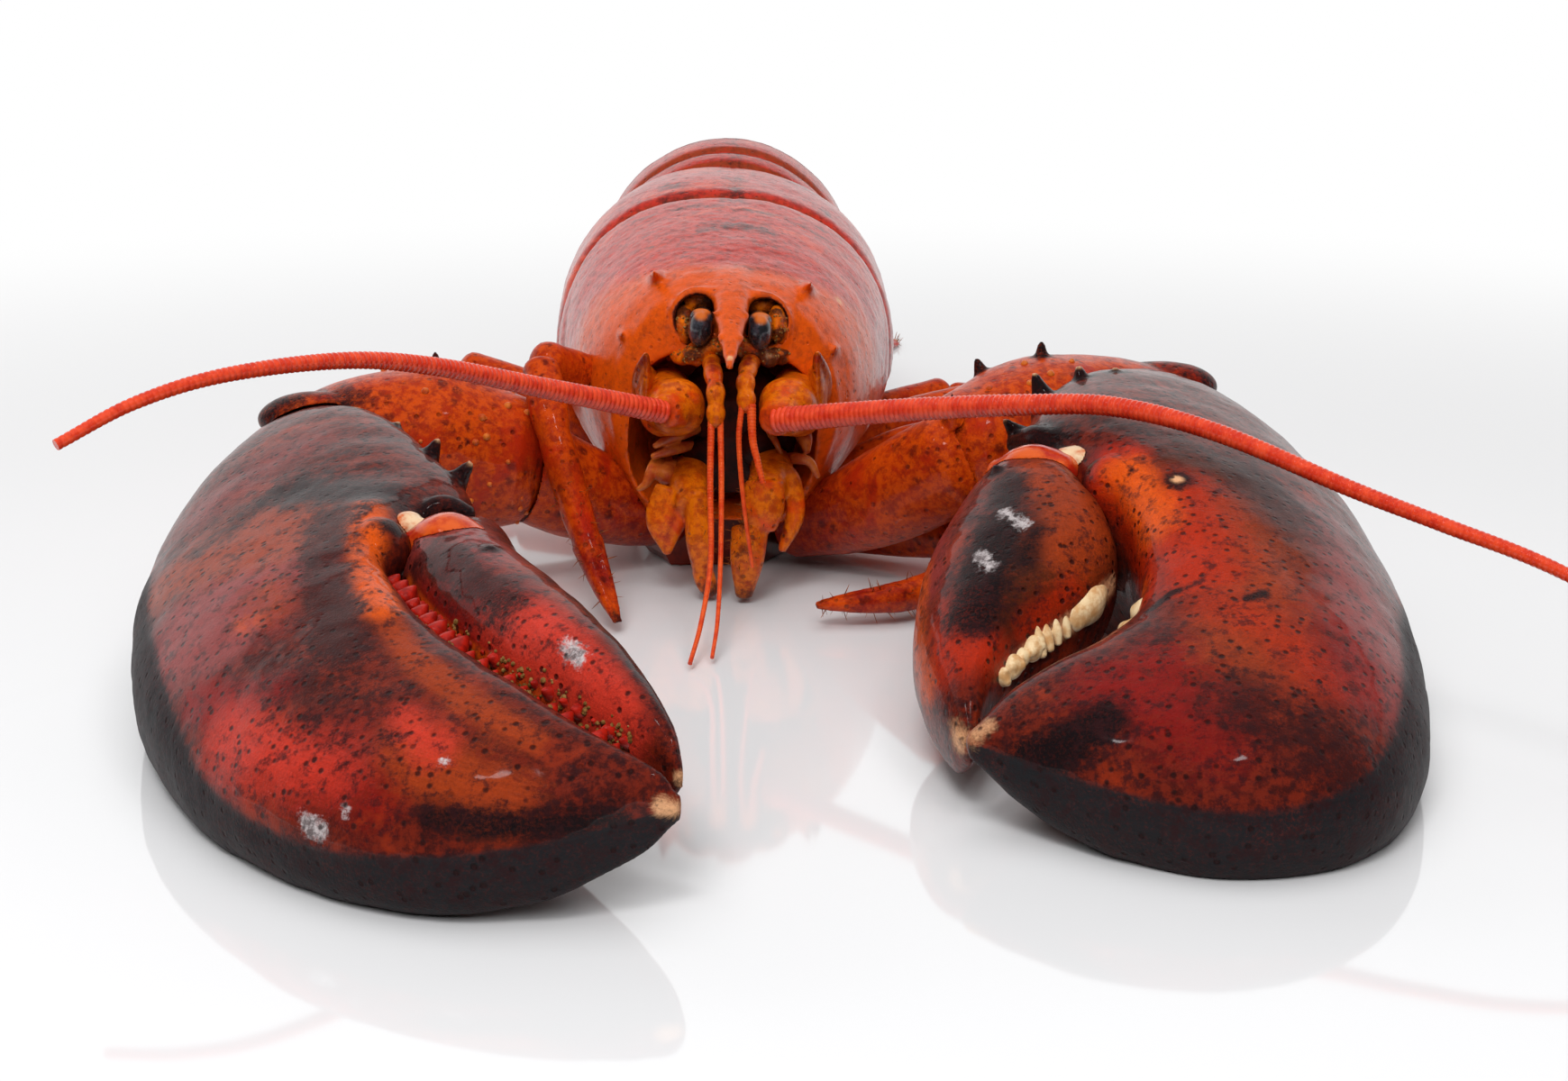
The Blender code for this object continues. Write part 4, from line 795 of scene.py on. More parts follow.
cutter = {
    "palm": (
        (-54, -63, 24, -71, -50, 21.5, 9, 11), (-47, -74, 25, -78.5, -63, 17.5, 12.5, 15.5),
        (-40.5, -88, 24.5, -83, -81, 13.5, 13.5, 18), (-35.5, -101, 24, -83.2, -101, 10.5, 13, 18),
        (-41, -114, 23.5, -79.4, -123, 8.5, 12, 16.8), (-44.5, -126, 22.5, -71, -144.5, 7, 10.5, 14),
        (-38.5, -140, 21, -59.5, -161.5, 6.5, 9.5, 12.5), (-30.5, -152, 19.5, -47, -173, 6, 8.5, 11),
        (-22, -162, 18, -35, -178.5, 6.5, 7.5, 10), (-14.5, -169.8, 16.5, -22.5, -179.3, 8, 6, 8),
        (-8.5, -174.6, 15, -12.5, -178, 11, 4, 5), (-6.6, -176, 13.8, -7.6, -177.2, 12.8, 1.8, 2),
    ),
    "finger": (
        (-45, -116, 22, -30, -107.5, 21, 8, 8.5), (-43, -124.5, 22, -27, -118.5, 20.5, 9, 11),
        (-37, -137, 21, -21, -132.5, 20, 9, 11.5), (-29, -149, 20, -14.4, -147, 19.5, 8.5, 11),
        (-20.6, -159.3, 18.5, -9.4, -159, 18.5, 7, 9.5), (-13, -167.2, 17, -6.4, -168.5, 17, 5, 7),
        (-7.5, -172.4, 15.6, -5.8, -173.2, 15.4, 2, 2.2),
    ),
    "thorns": (((-56.5, -70, 29.5), (0.5, 1.5, 4), 1.7), ((-50.5, -76.5, 29.5), (1.6, 1, 4.6), 2),
               ((-44.5, -87, 29), (2.6, 0.5, 5), 2.4), ((-40, -95, 28), (3.6, 0, 4.6), 2.6)),
    "knob": ((-46, -120, 26.8), (3.6, 4.2, 4)),
    "lobe": (((-43, -110.5, 28), (-39.5, -109, 29.4), (-35.8, -110.5, 29)), 2.0),
    "rimThorn": ((-31.5, -129, 27.5), (-30.8, -129.5, 30.6), 1.6),
    "scoop": (((-42, -116.5, 26.6), (-38, -118.0, 27.9), (-33.5, -120.5, 27.4)), (4.2, 3.4)),
    "membrane": (((-45.2, -113.0, 28.4), (-42.0, -115.8, 28.8)), (2.5, 1.9)),
    "marginEdge": ((0.0, -60), (0.18, -10), (0.27, 29), (0.39, 38), (0.44, 34), (0.48, 24), (0.5, 14),
                   (0.55, 6), (0.62, 5), (0.7, 10), (0.8, 15), (1.0, 15)),
    "palmPaint": {
        "soot": ((((-60, -102, 30), (-54, -106, 31), (-48, -110, 31)), 6.0, 0.8), (((-73, -139, 10),), 2.0),
                 (((-34, -176, 12), (-24, -178.5, 12), (-14, -178, 12.5)), 2.6, 0.8),
                 (((-44.5, -121, 30.5),), 2.0)),
        "dusk": ((((-53, -116, 30), (-52.5, -128, 28), (-50, -140, 26), (-47, -150, 24)), 4.2, 0.9),
                 (((-72, -108, 24), (-66, -102, 27), (-58, -98, 29)), 4.0, 0.7),
                 (((-58, -146, 22), (-50, -158, 19), (-42, -166, 17)), 5.0, 0.6)),
        "blaze": ((((-48.6, -114, 31), (-48, -122, 30), (-46, -133, 28.6), (-43.4, -144, 26.6)), 2.8),
                  (((-61, -139, 24),), 3.4, 0.5)),
        "rust": ((((-43.4, -144, 26.6), (-38, -155, 24), (-30.5, -165, 22), (-23, -171, 19)), 2.2, 0.9),
                 (((-68, -108, 26), (-61, -110, 28), (-56, -120, 29), (-74, -112, 22)), 7.5),
                 (((-38, -168, 18), (-32, -174, 16), (-26, -177, 14)), 4.5, 0.9),
                 (((-59, -133, 25), (-56, -138, 24)), 5.0, 0.6)),
        "plum": ((((-63, -136, 22), (-69, -131, 20), (-60, -130, 26)), 10.0),
                 (((-72, -92, 22), (-60, -84, 27)), 8.0, 0.7)),
        "wine": ((((-66, -147, 16), (-61, -151, 17), (-54, -154, 19)), 3.4),
                 (((-48, -166, 14), (-40, -172, 13)), 6.0, 0.6)),
        "coral": ((((-60, -156, 14), (-52, -163, 14), (-45, -166, 15)), 6.5, 0.75),
                  (((-38, -165, 19), (-34, -170, 18)), 3.6, 0.7)),
        "horn": ((((-7.2, -176.6, 13.4), (-8.4, -177, 13.8)), 1.1),),
        # pale scuffs, partly painted white glints of gloss
        "scuff": ((((-49, -171, 9.5), (-46.6, -171.8, 9)), 1.2, 0.85), (((-54, -166, 11.5),), 0.5, 0.8),
                  (((-33, -172, 17.5),), 0.6, 0.8), (((-44, -172.6, 11.5),), 0.7, 0.7)),
    },
    "fingerPaint": {
        "soot": ((((-29, -114, 28), (-24, -128, 28.5), (-18, -142, 28), (-12.5, -154, 25.5), (-8, -166, 21)),
                  3.0, 0.9),),
        "dusk": ((((-39, -127, 29), (-33, -137, 28.5), (-28, -145, 27.5)), 4.6, 0.85),),
        "coral": ((((-28, -147, 27), (-21, -157, 24), (-14, -166, 19.5)), 5.2, 0.95),),
        "wine": ((((-36, -132, 27), (-30, -142, 26)), 6.0, 0.8),
                 (((-35, -139, 22), (-28, -150, 21)), 4.5, 0.8)),
        "plum": ((((-38, -122, 29), (-33, -132, 29)), 6.0, 0.8),),
        "blaze": ((((-42, -126, 24), (-36, -139, 22), (-28, -150, 20.5), (-20, -160, 19)), 1.4, 0.7),),
        "horn": ((((-6.4, -173.2, 15.4),), 0.9),),
        # pale scuff, partly a painted white glint of gloss
        "scuff": ((((-19.6, -156, 26), (-18.4, -158.6, 24.8)), 1.1, 0.8),),
    },
}


def bladeMap(places, rows):  # share along the blade, and the angle round its section in degrees
    count = 110
    table = stations(rows, count)
    centre = (table[:, :3] + table[:, 3:6]) / 2
    half = (table[:, 3:6] - table[:, :3]) / 2
    length = np.linalg.norm(half, axis=1)
    best = np.full(len(places), 1e9)
    share, angle = np.zeros(len(places)), np.zeros(len(places))
    for i in range(count):
        side = half[i] / length[i]
        forward = np.cross(side, (0, 0, 1))
        forward = forward / np.linalg.norm(forward)
        offset = places - centre[i]
        across = offset @ side / length[i]
        away = np.abs(offset @ forward) + 30 * (np.abs(across) > 1.35)
        lift = offset[:, 2] - across * half[i][2]
        lift = lift / np.where(lift > 0, table[i, 6], table[i, 7])
        closer = away < best
        best = np.where(closer, away, best)
        share = np.where(closer, i / (count - 1), share)
        angle = np.where(closer, np.degrees(np.arctan2(lift, across)), angle)
    return share, angle


growth = ((0.30, 13), (0.14, 5), (0.05, 2))  # uneven growth of a shell: the depth and size of its dents


def shellRelief(places, seed):
    return sum(deep * swell(places, size, seed + i) for i, (deep, size) in enumerate(growth))


def weather(obj, seed, share=1.0):  # returns the places from before the relief
    places = placesOf(obj)
    relief(obj, shellRelief(places, seed) * share)
    return places


def bulging(wide, thick):  # radii of a tube that narrows towards both ends
    return ((wide * 0.7, thick * 0.7), (wide, thick), (wide * 0.7, thick * 0.7))


def clawPalm(claw, piece, node):
    skins = [bladeSkin(claw["palm"]), pebble(*claw["knob"])]
    skins += [spike(foot, np.add(foot, way), radius) for foot, way, radius in claw["thorns"]]
    route, thick = claw["lobe"]
    skins.append(tube(route, bulging(thick, thick), 16, 16))
    palm = clay(piece, skins, 0.5, 3)
    places = placesOf(palm)
    share, angle = bladeMap(places, claw["palm"])
    ridge = brushed(places, [claw["palmPaint"]["blaze"][0]])
    relief(palm, shellRelief(places, 3) + 0.9 * ridge)
    edge = np.interp(share, *zip(*claw["marginEdge"]))
    margin = smoothStep(edge - angle, -9, 8) * smoothStep(angle, -100, -80)
    thorns = [((foot, np.add(foot, way)), radius * 1.35) for foot, way, radius in claw["thorns"]]
    layers = dict(claw["palmPaint"])
    layers["soot"] = tuple(layers["soot"]) + tuple(thorns) + ((route, thick * 1.3),)
    layers["horn"] = tuple(layers["horn"]) + tuple(
        ((np.add(foot, np.array(way) * 1.02),), 0.9) for foot, way, _ in claw["thorns"])
    layers["margin"] = margin
    flow = np.stack([share * 140, np.radians(angle) * 22, places[:, 2]], axis=1)
    paint(palm, layers, flow)
    return finishPiece(palm, clawShell, [node])


def clawFinger(claw, piece, node, palm):
    finger = clay(piece, [bladeSkin(claw["finger"], 2.2), spike(*claw["rimThorn"])], 0.5, 2)
    carve(finger, [palm])
    remould(finger, 0.5, 3)
    places = weather(finger, 11)
    share, angle = bladeMap(places, claw["finger"])
    layers = dict(claw["fingerPaint"])
    foot, tip, radius = claw["rimThorn"]
    layers["soot"] = tuple(layers["soot"]) + (((foot, tip), radius * 1.2),)
    flow = np.stack([share * 90, np.radians(angle) * 14, places[:, 2]], axis=1)
    paint(finger, layers, flow)
    return finishPiece(finger, clawShell, [node])


def hinge(claw, piece, palm, finger):  # the hooded plate and the soft skin behind the finger
    for word, material, waves in (("scoop", scoopRed, 0.10), ("membrane", hingeSkin, 0.22)):
        route, size = claw[word]
        skin = clay(piece + word.title(), [tube(route, bulging(*size), 24, 24)], 0.3, 3)
        carve(skin, [palm, finger], 0.05)
        places = placesOf(skin)
        relief(skin, waves * swell(places * (1.0, 0.5, 1.0), 1.6, 33))
        finishPiece(skin, material)


crusherPalm = clawPalm(crusher, "crusherPalm", "crusher_palm")
crusherFinger = clawFinger(crusher, "crusherFinger", "crusher_finger", crusherPalm)
cutterPalm = clawPalm(cutter, "cutterPalm", "cutter_palm")
cutterFinger = clawFinger(cutter, "cutterFinger", "cutter_finger", cutterPalm)
hinge(crusher, "crusherHinge", crusherPalm, crusherFinger)
hinge(cutter, "cutterHinge", cutterPalm, cutterFinger)
stage("claws")

crusherTeeth = {
    "backMolar": ((48.2, -117.8, 20.6), (46.6, -121.0, 19.5), (44.2, -124.4, 18.3)),
    "backSizes": ((1.8, 2.0), (2.6, 2.7), (1.9, 2.0)),
    "ridges": ((43.0, -125.9, 18.2), (41.7, -127.1, 17.7), (40.5, -128.2, 17.2), (39.4, -129.2, 16.8)),
    "ridgeHalf": (-0.5, 0.7, 1.7),
    "ridgeSizes": ((0.45, 0.6), (0.75, 0.95), (0.5, 0.6)),
    "fingerLine": ((38.4, -129.6, 15.9), (36.2, -132.0, 14.9), (34.0, -134.6, 13.8)),
    "palmLine": ((53.8, -129.7, 20.6), (50.8, -136.2, 19.3), (45.8, -141.2, 17.7), (39.8, -144.6, 15.9)),
}


def crusherMolars(teeth):  # one big smooth molar, four upright ridges, then low lumps
    half = np.array(teeth["ridgeHalf"])
    skins = [tube(teeth["backMolar"], teeth["backSizes"], 24, 16)]
    for middle in np.array(teeth["ridges"]):
        skins.append(tube((middle + half, middle, middle - half), teeth["ridgeSizes"], 16, 12))
    molars = clay("crusherRidgedMolars", skins, 0.14, 2)
    relief(molars, 0.10 * swell(placesOf(molars), 1.4, 21))
    finishPiece(molars, molarIvory)
    rowOf("crusherFingerMolars", molarForm, teeth["fingerLine"], (0.8, -1, 0.4),
          (4, 1.9, 1.4, 0.2, 9), molarIvory)
    rowOf("crusherPalmMolars", molarForm, teeth["palmLine"], (-0.5, 0.7, 1.0),
          (8, 2.5, 2.1, 0.25, 4), molarIvory)


crusherMolars(crusherTeeth)
cutterPalmLine = ((-44, -127, 24.6), (-38, -140, 23.1), (-30, -152, 21.1), (-21, -162.5, 19.1),
                  (-14, -169.5, 17.4))
cutterFingerLine = ((-41, -130, 23), (-35, -139.5, 22), (-27, -150.5, 21), (-19, -160, 19.4),
                    (-12.5, -167, 17.6))
rowOf("cutterPalmTeeth", coneForm, cutterPalmLine, (0.8, 1, 0.8),
      (20, 1.5, 1.1, 0.4, 2), toothRed)
rowOf("cutterFingerTeeth", coneForm, cutterFingerLine, (-0.8, -1, 0.6),
      (18, 1.35, 1.0, 0.4, 6), toothRed)
for piece, line in ((cutterPalm, cutterPalmLine), (cutterFinger, cutterFingerLine)):
    mask = smoothStep(distanceTo(placesOf(piece), line[1:]), 2.4, 1.2)
    coatOf(piece.name + "Crumbs", crumbForm, piece, mask, "clawCrumbs", crumbOlive)
stage("teeth")


# Arms

arms = {
    "crusher": {"side": 1, "wrist": ((37, -51, 21.5), (50, -42.5, 22), (62, -37, 22.5), (73, -33, 22)),
                "arm": ((10, -38, 6.5), (18, -43, 10), (27, -49, 15.5), (35.5, -54, 21.5))},
    "cutter": {"side": -1, "wrist": ((-35, -48, 20.5), (-47, -47.5, 22), (-58, -50, 23), (-67, -54, 22.5)),
               "arm": ((-10, -35, 8), (-18, -39, 10.5), (-27, -43.5, 15), (-33, -46.5, 19))},
}


def armPair(prefix, look, palm):
    side = look["side"]
    middle, end = np.array(look["wrist"][1], float), np.array(look["wrist"][-1], float)
    spots = (((0, 2, 11), (0, 0.8, 5)), ((-side * 9, 3, 9), (-side * 1.5, 1, 4)))
    thorns = [(middle + np.array(a), middle + np.array(a) + np.array(b), 1.9) for a, b in spots]
    lobeCentre = end + np.array((-side * 2.5, -0.5, 6.6))
    wristSkins = [tube(look["wrist"], ((9.5, 10.5), (13, 13.5), (12, 12), (9, 9)), 36, 30, (0.6, 0.6)),
                  pebble(lobeCentre, (9.5, 5, 4.2), 30, 20)] + [spike(*one) for one in thorns]
    wrist = clay(prefix + "Wrist", wristSkins, 0.5, 3)
    carve(wrist, [palm])
    places = weather(wrist, 21)
    soot = [((foot, tip), radius * 1.2) for foot, tip, radius in thorns]
    soot.append(((lobeCentre + np.array((side * 6, 0, 0)), lobeCentre,
                  lobeCentre - np.array((side * 5, 0, 0))), 5.0))
    paint(wrist, {"soot": soot, "wine": ((((lobeCentre - np.array((side * 12, 0, 2))),), 5.0, 0.7),)})
    finishPiece(wrist, armShell, [prefix + "_wrist"])
    mask = smoothStep(distanceTo(places, look["wrist"][:2]), 17, 12)
    coatOf(prefix + "Warts", wartForm, wrist, mask, "warts", palpOchre)

    end = np.array(look["arm"][-1], float)
    thorn = (end + np.array((-side, -2, 8)), end + np.array((-side * 1.5, -3.5, 12.2)), 1.8)
    arm = clay(prefix + "Arm", [tube(look["arm"], ((5, 5.2), (6.5, 6.8), (7.5, 8), (7.5, 8.5)), 30, 30,
                                     (0.5, 0.6)),
                                spike(*thorn)], 0.5, 3)
    carve(arm, [wrist])
    weather(arm, 27)
    # the deep red over the arm's root is painted shade beneath the body; the thorn's black is its own
    paint(arm, {"wine": ((look["arm"][:2], 9.0, 0.8),), "soot": (((thorn[0], thorn[1]), 1.6, 0.7),)})
    finishPiece(arm, armShell, [prefix + "_arm"])


armPair("crusher", arms["crusher"], crusherPalm)
armPair("cutter", arms["cutter"], cutterPalm)
stage("arms")


# Carapace

shellRows = (
    (-45, 18.5, 48.2), (-40, 21.6, 49.3), (-30, 25, 51), (-20, 27.2, 52.4), (-10, 28.8, 53.6),
    (0, 29.8, 54.6), (10, 30.2, 55.2), (20, 30.4, 55.8), (30, 29.8, 55.6), (38, 28.4, 55), (45, 26, 54),
)
widest, shellFloor = 27.0, 9.5


def carapaceSkin():
    hoops = []
    for y, half, top in stations(shellRows, 60):
        section = []
        for k in range(72):
            angle = 2 * math.pi * k / 72
            c, s = rounded(math.cos(angle), 2.25), rounded(math.sin(angle), 2.25)
            if s >= 0:
                section.append(np.array((half * c, y, widest + (top - widest) * s)))
            else:
                z = widest + (widest - shellFloor) * max(s * 1.25, -1.0)
                section.append(np.array((half * c * (1 + 0.18 * s), y, z)))
        hoops.append(section)
    return skinOver(domed(hoops, 4.6, 1.0, 8))


def rostrumSkins():
    rows = ((-36, 4.4, 47.0, 3.1), (-44, 3.6, 46.5, 2.6), (-52, 2.7, 45.0, 2), (-60, 1.8, 42.4, 1.5),
            (-68, 0.5, 39.4, 0.5))
    hoops = [
        hoop(np.array((0, y, z)), np.array((half, 0, 0)), np.array((0, 0, thick)), 28, 2.4)
        for y, half, z, thick in stations(rows, 30)
    ]
    skins = [skinOver(hoops)]
    for y, half, z in ((-46, 3.3, 46.5), (-53, 2.5, 44.8), (-59.5, 1.8, 42.7)):
        for side in (-1, 1):
            skins.append(spike((side * half * 0.75, y, z), (side * (half + 0.8), y - 2.6, z + 0.9), 0.8, 12))
    return skins


def eyeRims():  # a raised edge over each eye
    route = np.array(((3.4, -46.4, 47.2), (5.8, -46.5, 47.1), (8.0, -46.8, 45.6), (9.1, -47.2, 43.2),
                      (8.7, -47.8, 40.9), (7.6, -48.2, 39.4)))
    return [tube(route * (side, 1, 1), ((0.7, 0.7), (0.85, 0.85), (0.6, 0.6)), 14, 40) for side in (-1, 1)]


def makeCarapace():
    skins = [carapaceSkin(), *rostrumSkins(), *eyeRims()]
    for side in (-1, 1):
        skins.append(spike((side * 12, -38.5, 47), (side * 12.6, -43.5, 49.2), 1.3))
        skins.append(spike((side * 16.8, -41, 38), (side * 17, -47, 39.5), 1.4))
    carapace = clay("carapaceShell", skins, 0.5, 1)
    holes = [tube(((0, -66, 24), (0, -36, 24)), ((15.5, 14.4), (15.5, 14.4), (12.5, 11.5)), 48, 20,
                  (0.5, 0.4), 3.0)]
    holes += [pebble((side * 5.4, -48.5, 43.0), (3.5, 7.5, 3.6), 30, 20) for side in (-1, 1)]
    carveWith(carapace, holes)
    remould(carapace, 0.5, 2)
    places = placesOf(carapace)
    x, y, z = places.T
    height = np.clip((z - shellFloor) / 45, 0, 1)
    grooveY = 6 - 30 * (1 - height) ** 1.5
    outer = smoothStep(np.hypot(x / 30, (z - widest) / 28), 0.55, 0.75)
    groove = np.exp(-((y - grooveY) / 2.2) ** 2) * np.minimum(1, 2 * height) * outer
    second = np.exp(-((y - grooveY + 13 - 6 * height) / 2.0) ** 2) * smoothStep(height, 0.75, 0.3) * outer
    seam = np.exp(-(x / 0.35) ** 2) * (z > 45)
    rim = np.exp(-((y - 42.5) / 1.2) ** 2) * outer
    grainy = 0.05 * swell(places, 1.1, 41) + 0.03 * swell(places, 0.7, 42)
    relief(carapace, shellRelief(places, 31) * 0.8 - 1.5 * groove - 0.6 * second - 0.2 * seam - 0.5 * rim
           + grainy)
    angle = np.arctan2(z - widest, x)
    layers = {
        "rust": np.clip(groove * 0.9 + second * 0.8, 0, 1) * 0.9,
        "blaze": np.clip(smoothStep(z, 52, 38) * smoothStep(y, -14, -40) + smoothStep(z, 24, 16) * 0.7
                         + smoothStep(y, -30, -46), 0, 1),
        "dusk": np.maximum(
            smoothStep(np.hypot((np.abs(x) - 5.4) / 3.5, (z - 43) / 3.6), 1.16, 0.98)
            * smoothStep(np.abs(x), 2.4, 3.2) * (y < -38),
            smoothStep(swell(places * (0.22, 1.0, 1.0), 2.4, 47), 0.15, 0.8) * smoothStep(z, 46, 51) * 0.55),
        "matte": smoothStep(y, -36, -46) * 0.7,
        "wine": brushed(places, ((((0, -40, 50), (0, -52, 47)), 4.0, 0.5),
                                 (((0, -46, 49), (0, -60, 44)), 2.6, 0.5))),
        "soot": brushed(places, ((((-4, -18, 53), (0, -16, 53), (5, -17, 53)), 3.4, 0.55),
                                 (((0, 0, 55), (0, 20, 56)), 3.0, 0.5))),
        "horn": brushed(places, ((((-18, -29, 47),), 1.0), (((17, -33, 44),), 1.0), (((-13, 5, 53),), 0.9),
                                 (((14, 2, 51),), 0.9), (((0, -66, 41),), 0.6))),
    }
    paint(carapace, layers, np.stack([x, y, angle * 28], axis=1))
    turn(carapace, bodyLean())
    finishPiece(carapace, bodyShell, ["carapace"])


makeCarapace()
stage("carapace")


# Face: eyes, roots and scales of the antennae, small feelers, jaw legs and mouth

def eyePiece(word, side):
    ball = pebble((side * 4.7, -50.8, 42.0), (1.9, 2.9, 2.9), 30, 20)
    stalk = tube(((side * 4.4, -47.0, 43.2), (side * 4.6, -50.4, 43.6)), ((1.6, 1.5), (1.9, 1.5)), 16, 8)
    eye = clay("eye" + word, [ball, stalk], 0.22, 2)
    places = placesOf(eye)
    paint(eye, {"soot": smoothStep(places[:, 2] - 0.35 * (places[:, 1] + 51), 44.8, 44.2)})
    turn(eye, bodyLean())
    finishPiece(eye, eyeGloss, ["eye_" + word.lower()])


def eyeMaterial():
    made, tree, shader = blankMaterial("eyeGloss")
    place = millimetres(tree)
    facets = add(tree, "ShaderNodeTexVoronoi", {"Vector": place, "Scale": 4.0}).outputs["Distance"]
    black = mixed(tree, softened(tree, noise(tree, place, 0.6), 0.4, 0.7), srgb(26, 26, 30), srgb(66, 66, 74))
    tree.links.new(mixed(tree, attribute(tree, "soot"), srgb(196, 96, 26), black),
                   shader.inputs["Base Color"])
    bump = add(tree, "ShaderNodeBump", {"Strength": 0.15, "Distance": 0.00005, "Height": facets})
    tree.links.new(bump.outputs[0], shader.inputs["Normal"])
    shader.inputs["Roughness"].default_value = 0.22
    shader.inputs["Coat Weight"].default_value = 0.5
    shader.inputs["Coat Roughness"].default_value = 0.08
    return made


eyeGloss = eyeMaterial()
leftWhip = ((-10.4, -61.9, 31.6), (-28.2, -75, 38.5), (-42.4, -88, 44.6), (-53.5, -98, 47.6),
            (-67.2, -110, 48.3), (-77.5, -118, 46.4), (-86.2, -125, 42.6))
rightWhip = ((6.6, -62.6, 30.4), (25.2, -73.5, 34.4), (41.3, -85, 37.8), (53.6, -94, 39.6),
             (66, -105.5, 38.6),
             (81.3, -120, 34.4), (90.6, -130, 32.4), (103.2, -142, 29.2), (119, -157, 21.5), (133, -171, 11),
             (146, -184, 1.4))


def whipPiece(name, route, root, tip, spacing, material, nodes):
    obj = pathObject(name, through(route, 300))
    grow(obj, whipTree, {"Root Radius": root * mm, "Tip Radius": tip * mm, "Ring Spacing": spacing * mm,
                         "Groove Depth": 0.13, "Material": material})
    finishPiece(aboveTable(obj), material, nodes)


def antennaRoot(word, side, end):
    end = np.array(end, float)
    skins = [
        tube(((side * 10.5, -42, 29.5), (side * 10.3, -50, 29.5)), ((4.2, 4.8), (4.6, 5.0)), 24, 14),
        tube(((side * 10.2, -49, 29.8), (side * 8.6, -56.5, 31)), ((4.3, 4.6), (4.6, 4.6)), 24, 14,
             (0.6, 0.9)),
        tube(((side * 8.0, -57, 31.2), end), ((3.6, 3.6), (2.7, 2.7)), 24, 12, (0.8, 0.3)),
    ]
    root = clay(f"antennaRoot{word}", skins, 0.4, 3)
    weather(root, 51, 0.6)
    paint(root, {"wine": (((end,), 2.6, 0.5),), "horn": ((((side * 9.0, -58.5, 33.5),), 1.2, 0.5),)})
    finishPiece(root, faceShell, ["antenna_root_" + word.lower()])


def antennaScale(word, side):
    skins = [
        tube(((side * 12.6, -44, 29), (side * 13.6, -51, 33), (side * 13.0, -57.5, 39.5)),
             ((2.0, 4.8), (1.3, 4.2), (0.35, 0.5)), 24, 24, (0.4, 0.2), 2.0),
        tube(((side * 14.6, -46, 30.5), (side * 14.6, -52, 35), (side * 13.2, -58, 40)),
             ((1.2, 1.4), (0.9, 1.1), (0.3, 0.3)), 14, 20),
        tube(((side * 11.6, -45, 27), (side * 12.0, -51, 29), (side * 11.6, -55, 33)),
             ((1.4, 1.8), (1.2, 1.5), (0.5, 0.6)), 14, 20),
    ]
    scale = clay(f"antennaScale{word}", skins, 0.35, 2)
    weather(scale, 55, 0.5)
    paint(scale, {"wine": ((((side * 14.8, -50, 34), (side * 13.4, -57, 39)), 1.4, 0.8),)})
    finishPiece(scale, faceShell, ["antenna_scale_" + word.lower()])


feelerLooks = {  # the route of the stalk, then of its two thin whips, with their radii
    "Left": {
        "stalk": ((-3.3, -47, 36.6), (-3.0, -56, 37.0), (-2.5, -62, 34.9), (-2.5, -64, 30.2)),
        "whips": (((-3.2, -64, 30.6), (-3.4, -68.5, 22), (-3.4, -75, 11.5), (-4.8, -83, 4.6),
                   (-6.4, -91, 0.9)),
                  ((-1.8, -64, 30.6), (-1.7, -68.5, 22), (-1.9, -75, 11.5), (-2.4, -82, 4.4),
                   (-3.2, -88.5, 0.9))),
        "thick": (0.58, 0.52),
    },
    "Right": {
        "stalk": ((3.3, -47, 36.6), (2.7, -55, 37.2), (2.1, -60.5, 36.0), (2.2, -63.2, 32.4)),
        "whips": (((1.5, -63.3, 33), (1.0, -65, 27.5), (1.7, -66, 18), (3.0, -66.4, 8)),
                  ((2.9, -63.3, 33), (3.1, -65, 28), (3.8, -66, 24.8), (4.6, -66.6, 21.5))),
        "thick": (0.5, 0.78),
    },
}


def smallFeelers(word):
    look = feelerLooks[word]
    line = through(look["stalk"], 60)
    bulge = ((1.15, 1.15), (1.5, 1.5), (1.15, 1.15))
    spans = ((0, 24), (22, 42), (40, 52), (50, 60))
    skins = [tube(line[first:last], bulge, 18, 16, (0.6, 0.6)) for first, last in spans]
    stalk = clay(f"antennule{word}", skins, 0.25, 2)
    weather(stalk, 57, 0.4)
    paint(stalk, {"wine": (((line[20] + (0, 0, 1.4), line[34] + (0, -0.6, 1.2)), 0.9, 0.7),)})
    finishPiece(stalk, faceShell, ["antennule_" + word.lower()])
    for i, (route, thick) in enumerate(zip(look["whips"], look["thick"])):
        whipPiece(f"feeler{word}{i + 1}", route, thick, thick * 0.6, 0.5, feelerOrange, ())


